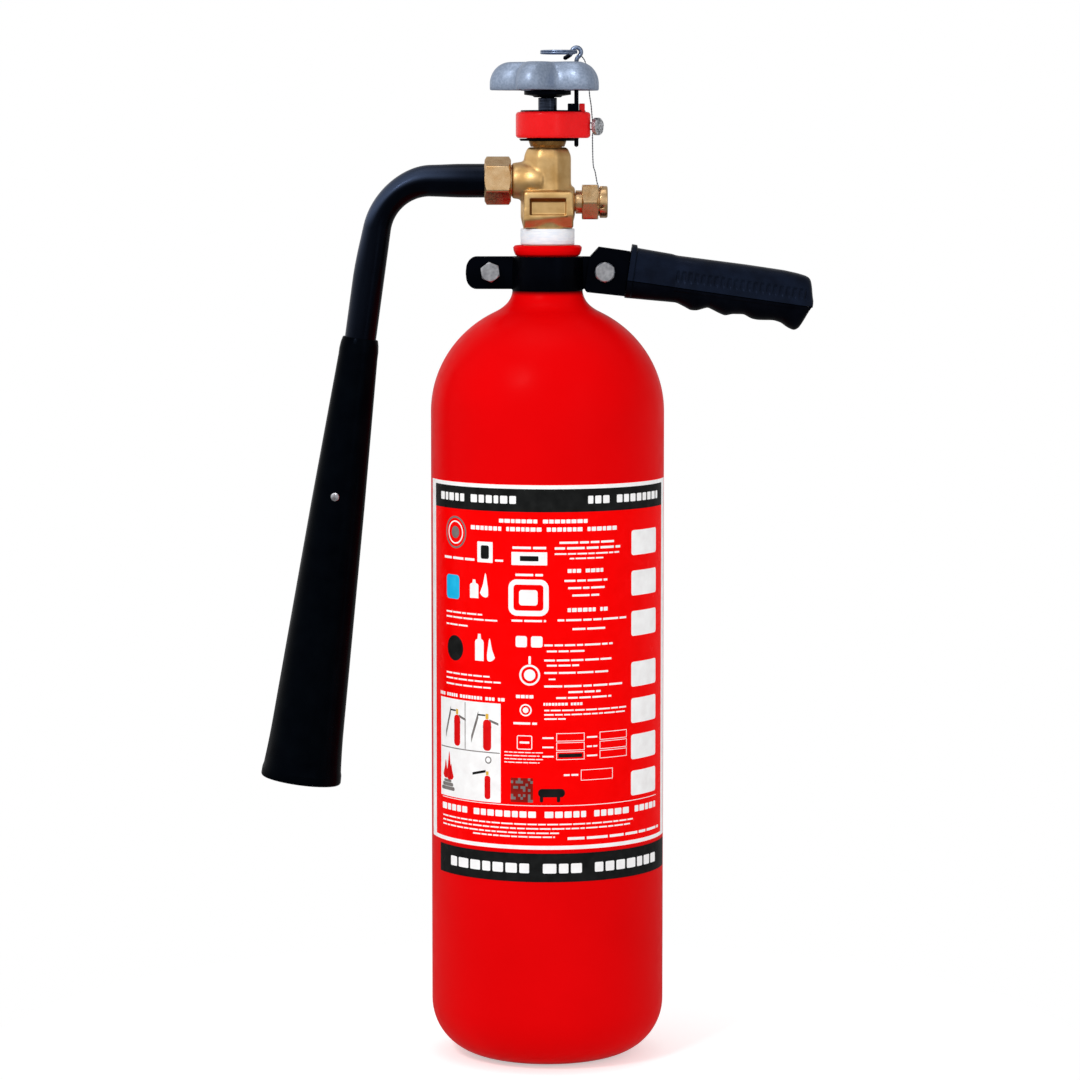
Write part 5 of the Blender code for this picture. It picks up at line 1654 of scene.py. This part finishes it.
for side, place, face, tail, boltSpin, nutSpin in [
    ("Left", -clamp["boltPlace"], clamp["tightFace"], 14.5, 8, 20),
    ("Right", clamp["boltPlace"], clamp["wideFace"], 18.5, 0, -12),
]:
    bolt, nut = f"clamp_bolt_{side.lower()}", f"clamp_nut_{side.lower()}"
    makeBolt(f"clampBolt{side}", bolt, place, face, tail, math.radians(boltSpin), clamp)
    makeNut(f"clampNut{side}", nut, place, face, math.radians(nutSpin), clamp)
print("clamp made")

# carrying handle: bracket, two moulded halves and their screws

grip = dict(
    tilt=math.radians(8.2),
    seam=-3.0,
    start=13.95,
    end=125.8,
    collarEnd=16.9,
    collarRise=1.7,
    collarSide=1.4,
    neckHalf=12.2,
    palmRise=1.4,
    palmStart=43.0,
    endStart=110.0,  # from here on the grip's width falls, by this share at its end
    endFall=0.4,
    ribs=20,
    ribPitch=3.92,
    ribLow=0.9,
    ribHigh=7.6,
    ribDepth=0.8,
    ledge=0.7,
    wall=2.4,
    seamGap=0.25,  # half of it
    screws=(38.0, 96.0),
    sinkRadius=3.6,
    sinkDepth=2.4,
    # (place along the grip, height): its back, and its underside with finger rises and knob
    top=(
        (14, 17.0), (18, 16.9), (39, 16.3), (41, 15.8), (83, 16.4), (106, 16.3), (114, 15.7),
        (119, 15.0), (121.8, 14.0), (123.4, 12.0), (124.3, 7.5), (125.8, -0.5),
    ),
    low=(
        (14, -13.7), (30, -12.9), (45, -12.1), (50, -13.8), (54, -15.4), (58, -15.0),
        (64, -12.2), (71, -14.6), (75, -15.7), (79, -14.1), (86, -13.2), (91, -15.2),
        (95, -15.4), (104, -14.2), (108.6, -14.9), (113, -17.3), (117.0, -18.5),
        (119.8, -16.8), (121.6, -12.6), (123.7, -7.4), (125.8, -1.6),
    ),
)
gripPlace = (clamp["boltPlace"], 0.0, clamp["height"])


def outline(places):
    # Heights given along the grip, joined by straight lines and smoothed over 2 mm.
    reads = np.linspace(10, 128, 473)
    heights = np.interp(reads, *np.transpose(places))
    weights = np.exp(-((np.arange(-12, 13) / 5.0) ** 2))
    padded = np.pad(heights, 12, mode="edge")
    return reads, np.convolve(padded, weights / weights.sum(), "valid")


topLine = outline(grip["top"])
lowLine = outline(grip["low"])


def collarAt(u):
    # 1 on the narrow collar at the grip's start, and 0 beyond it.
    return 1 - ease((u - grip["collarEnd"]) / 0.8)


def gripTop(u):
    # The back's line, higher on the collar.
    return np.interp(u, *topLine) + grip["collarRise"] * collarAt(u)


def gripBottom(u):
    # The underside's line.
    return np.interp(u, *lowLine)


def gripWidth(u):
    # Half the width: a collar, a slimmer neck, a full palm and a rounded end.
    palm = grip["neckHalf"] + grip["palmRise"] * ease((u - 40) / 14)
    fall = np.clip((u - grip["endStart"]) / (grip["end"] - grip["endStart"]), 0, 1)
    return (palm + grip["collarSide"] * collarAt(u)) * (1 - fall**3 * grip["endFall"])


def onGrip(points):
    # Points along, across and up from the grip, brought to its place and tilt.
    return aboutY(points, grip["tilt"], gripPlace)


def gripGrain(name, dark, light, gloss):
    # Moulded grip plastic: a bluish black, satin, with a fine leathery mould texture.
    return finish(
        name, dark, 0.38, gloss=gloss, sheen="9DBBFF", clouds=((9, 3), dark, light),
        patches=((4, 3), 0.32, 0.46), relief=[((0.9, 2), 0.03)],
    )


# one plastic in both halves: the upper is painted lighter, as lit from above, and the lower darker,
# as in shade
gripUpper = gripGrain("grainedGripPaintedLit", "090C14", "0F1522", 0.1)
gripLower = gripGrain("grainedGripPaintedShade", "020204", "05060A", 0.04)


def makeGripHalf(name, height, power, upper, g):
    # Stations along the grip, and across it an arch whose power sets how square it is; the ribs
    # are pressed into the side just above the seam.
    sign = 1 if upper else -1
    edge = g["seam"] + sign * g["seamGap"]
    parts = [
        np.linspace(g["start"], g["collarEnd"], 5),
        np.linspace(g["collarEnd"] + 0.15, 18.2, 7),
        np.linspace(19, g["palmStart"] - 1, 24),
        np.arange(g["palmStart"] - 0.6, 112, 0.35),
        np.linspace(112, g["end"] - 1.2, 50),
        g["end"] - 1.2 + np.sin(np.linspace(0, math.pi / 2, 8)) * 1.2,
    ]
    u = np.unique(np.concatenate(parts))[:, None]
    a = np.linspace(0, math.pi, 97)[None]
    cosine, sine = np.cos(a), np.sin(a)
    y = gripWidth(u) * np.sign(cosine) * np.abs(cosine) ** power
    crown = height(u)
    w = edge + (crown - edge) * sine**power
    side = np.sign(cosine) * (np.abs(cosine) > 0.03)
    palm = ease((u - g["palmStart"] + 0.8) / 0.8)
    if upper:
        # a wave whose crests and troughs are cut off flat
        wave = np.cos((u - g["palmStart"]) / g["ribPitch"] * turnAll)
        wave = np.clip(wave * 0.75 + 0.6, 0, 1)
        reach = ease(g["palmStart"] + g["ribs"] * g["ribPitch"] - u) * palm
        zone = ease((w - g["ribLow"]) / 0.5) * ease((g["ribHigh"] - w) / 1.6)
        y = y - side * g["ribDepth"] * wave * zone * reach
    # a ledge runs along the seam
    high = 1.9 if upper else 1.6
    band = 1 - ease((sign * (w - edge) - high) / 0.5)
    y = y + side * g["ledge"] * band * palm
    points = np.stack([np.broadcast_to(u, y.shape), y, w], -1)
    # the inner wall is the same surface, drawn in and pulled back from the end
    wall = g["wall"]
    innerY = np.sign(cosine) * np.maximum(gripWidth(u) - wall, 1.0) * np.abs(cosine) ** power
    innerW = edge + (crown - sign * wall - edge) * sine**power
    back = np.minimum(u, g["end"] - wall)
    inner = np.stack([np.broadcast_to(back, innerY.shape), innerY, innerW], -1)
    shown = onGrip(np.concatenate([points, inner[:, ::-1]], 1))
    rows, columns = shown.shape[:2]
    faces = gridFaces(rows, columns, wrapColumns=True)
    # both ends are closed by strips between the outer and the inner arch
    count = a.size
    j = np.arange(count - 1)
    for row in (0, rows - 1):
        base = row * columns
        faces += np.stack(
            [base + j, base + j + 1, base + columns - 2 - j, base + columns - 1 - j], -1
        ).tolist()
    shell = solid(name, shown.reshape(-1, 3), faces, smooth=50)
    # the palm end is one wall
    rim = points[-1]
    middle = np.broadcast_to((g["end"], 0, edge), rim.shape)
    grid = np.stack([middle, rim, rim - (wall, 0, 0), middle - (wall, 0, 0)])
    end = gridSolid(f"{name}End", onGrip(grid), wrapRows=True, smooth=50)
    return merged(name, [shell, end])


def onSpot(profile, u):
    # A turned shape that stands upright at a place along the grip.
    return onGrip(turnedGrid(profile, 40) + (u, 0, 0))


def makeGrip(g):
    # The two halves, a screw up into each post of the lower one, and the bracket.
    upper = makeGripHalf("gripUpper", gripTop, 0.62, True, g)
    give(upper, gripUpper, "handle", ["grip_upper"])
    lower = makeGripHalf("gripLower", gripBottom, 0.7, False, g)
    sinks = []
    for u in g["screws"]:
        # a post inside for the screw, and a sink up into it
        belly = float(gripBottom(np.array(u)))
        seat = belly + g["sinkDepth"]
        profile = [(0, -40.0), (g["sinkRadius"], -40.0), (g["sinkRadius"], seat), (0, seat)]
        sinks.append(gridSolid("sink", onSpot(profile, u), wrapColumns=True))
        profile = [(0, belly + 1.0), (5.0, belly + 1.0), (5.0, -9.3), (0, -9.3)]
        post = gridSolid("post", onSpot(profile, u), wrapColumns=True)
        lower = merged("gripLower", [lower, post])
    carve(lower, *sinks)
    give(lower, gripLower, "handle", ["grip_lower"])

    for k, u in enumerate(g["screws"]):
        seat = float(gripBottom(np.array(u))) + g["sinkDepth"]
        head = rounded([
            (0, 2, 0), (1.6, 2, 0), (1.6, seat - 0.3, 0), (3.2, seat - 0.3, 0.1),
            (2.7, seat - 1.9, 0.7), (0, seat - 1.9, 0),
        ], 3)
        screw = gridSolid(f"gripScrew{k}", onSpot(head, u), wrapColumns=True)
        # its head has a crossed slot
        for x, y in ((0.3, 1.9), (1.9, 0.3)):
            blade = roundBlock("blade", (u - x, -y, seat - 2.4), (u + x, y, seat - 1.1))
            carve(screw, moved(blade, onGrip))
        give(screw, zinc, "handle", [f"grip_screw_{k + 1}"])

    bracket = nodeCopy("handle_bracket", "handleBracket", 0.5, 3, 25)
    give(bracket, blackPaint, "handle", ["handle_bracket"])


makeGrip(grip)
print("handle made")

# carried-over CAD nodes: most are hidden behind the fine pieces or inside, and each still has
# the finish of its metal or plastic

# machined nylon or fibre: off-white, waxy and slightly translucent looking
nylon = finish(
    "machinedNylon", "D8D4C6", 0.45, clouds=((3, 3), "CFCABA", "E2DED1"), relief=[((0.8, 2), 0.02)]
)
nodeFinish = {
    "red_enamel": red,
    "brass": brassTurned,
    "zinc": zinc,
    "black_paint": blackPaint,
    "black_plastic": blackPlastic,
    "grey_casting": greyCasting,
    "red_plastic": redPlastic,
    "white_tape": nylon,
    "nylon": nylon,
    "steel": wireSteel,
    "seal_metal": zinc,
}
for part in record["subparts"]:
    shown = frame["nodes"][part["node"]]
    shown.data.materials.clear()
    shown.data.materials.append(nodeFinish[part["material_slot"]])
print("nodes finished")


# camera, floor and light

view = dict(
    lens=132.8,  # on a 36 mm sensor
    target=(2.7, 0.0, 312.0),
    distance=2400.0,
    above=5.5,  # degrees above the horizon
)

cameraData = bpy.data.cameras.new("camera")
cameraData.lens, cameraData.sensor_width = view["lens"], 36
camera = newObject("camera", cameraData)
lookDown = math.radians(view["above"])
away = np.array([0, -math.cos(lookDown), math.sin(lookDown)])
camera.location = (np.array(view["target"]) + view["distance"] * away) * mm
camera.rotation_euler = (math.pi / 2 - lookDown, 0, 0)
bpy.context.scene.camera = camera

studio = dict(
    floorRadius=6.0,
    fadeStart=0.03,
    fadeEnd=0.34,
    ambient=0.62,
    mirrored=0.84,  # the backdrop's mean level in gloss and glass
    mirroredSide=(-0.27, -0.1, 0.06),  # it is brighter to the left and a little in front
    mirroredFall=0.42,  # and darker overhead and underfoot, as between softboxes
    mirroredFloor=0.3,
    paperLift=0.45,
)


def makeStudio(s):
    # White all round for the camera. Gloss and glass see the same backdrop, brighter at the
    # sides than overhead, and the light on plain surfaces has one plain level.
    world = bpy.data.worlds.new("studio")
    bpy.context.scene.world = world
    world.use_nodes = True
    tree = world.node_tree

    def worked(operation, links, values=()):
        # One step of arithmetic.
        return addNode(tree, "ShaderNodeMath", values, links, operation=operation).outputs["Value"]

    ray = addNode(tree, "ShaderNodeLightPath").outputs
    mirror = worked("MAXIMUM", {0: ray["Is Glossy Ray"], 1: ray["Is Transmission Ray"]})
    toward = addNode(tree, "ShaderNodeTexCoord").outputs["Generated"]
    side = addNode(
        tree, "ShaderNodeVectorMath", {1: s["mirroredSide"]}, {0: toward}, operation="DOT_PRODUCT"
    )
    rise = addNode(tree, "ShaderNodeSeparateXYZ", (), {"Vector": toward}).outputs["Z"]
    steep = worked("ABSOLUTE", {0: rise})
    fallen = worked("MULTIPLY_ADD", {0: steep}, {1: -s["mirroredFall"], 2: s["mirrored"]})
    shade = worked("ADD", {0: fallen, 1: side.outputs["Value"]})
    lit = addNode(
        tree, "ShaderNodeMapRange", {"To Min": s["ambient"]}, {"Value": mirror, "To Max": shade}
    )
    seen = worked("MAXIMUM", {0: lit.outputs["Result"], 1: ray["Is Camera Ray"]})
    background = tree.nodes["Background"]
    background.inputs["Color"].default_value = (1, 1, 1, 1)
    tree.links.new(seen, background.inputs["Strength"])


def makeFloor(s):
    # White paper; away from the object it fades into the white behind it.
    radius = np.array([0.0, 0.12, 0.3, 0.6, 1.0, 2.0, 4.0, s["floorRadius"]])
    grid = polar(radius[:, None], evenTurns(64), -0.0002)
    mesh = bpy.data.meshes.new("floor")
    mesh.from_pydata(grid.reshape(-1, 3), [], gridFaces(len(radius), 64, wrapColumns=True))
    floor = newObject("floor", mesh)
    material = finish("whitePaperFloor", "F4F4F4", 0.9, gloss=0.1)
    tree = material.node_tree
    paper = tree.nodes["Principled BSDF"].outputs["BSDF"]
    place = tree.nodes["Texture Coordinate"].outputs["Object"]
    ray = addNode(tree, "ShaderNodeLightPath").outputs

    def glow(strength):
        values = {"Color": (1, 1, 1, 1), "Strength": strength}
        return addNode(tree, "ShaderNodeEmission", values).outputs["Emission"]

    def either(share, first, second):
        # The first shader, and as the share rises the second one.
        links = {0: share, 1: first, 2: second}
        return addNode(tree, "ShaderNodeMixShader", (), links).outputs["Shader"]

    far = addNode(tree, "ShaderNodeVectorMath", (), {0: place}, operation="LENGTH").outputs["Value"]
    ends = {"From Min": s["fadeStart"], "From Max": s["fadeEnd"]}
    fade = addNode(tree, "ShaderNodeMapRange", ends, {"Value": far}).outputs["Result"]
    lifted = addNode(tree, "ShaderNodeAddShader", (), {0: paper, 1: glow(s["paperLift"])})
    shown = either(ray["Is Camera Ray"], paper, lifted.outputs["Shader"])
    mixed = either(ray["Is Glossy Ray"], either(fade, shown, glow(1.0)), glow(s["mirroredFloor"]))
    tree.links.new(mixed, tree.nodes["Material Output"].inputs["Surface"])
    floor.data.materials.append(material)


def lamp(name, place, width, height, power):
    # A soft rectangular lamp that faces the object's middle.
    data = bpy.data.lights.new(name, "AREA")
    data.shape, data.size, data.size_y, data.energy = "RECTANGLE", width, height, power
    made = newObject(name, data)
    made.location = place
    ahead = Vector((0, 0, 0.32)) - Vector(place)
    made.rotation_euler = ahead.to_track_quat("-Z", "Y").to_euler()


makeStudio(studio)
makeFloor(studio)
# place, width and height in metres, and power in watts
lamp("keyLamp", (-1.0, -1.7, 1.9), 0.4, 0.4, 20)
lamp("fillLamp", (1.15, -1.7, 0.9), 0.6, 1.6, 2.5)
lamp("topLamp", (-0.15, -0.1, 2.0), 0.8, 0.8, 4)
bpy.context.scene.view_settings.view_transform = "Standard"

print("stage made")
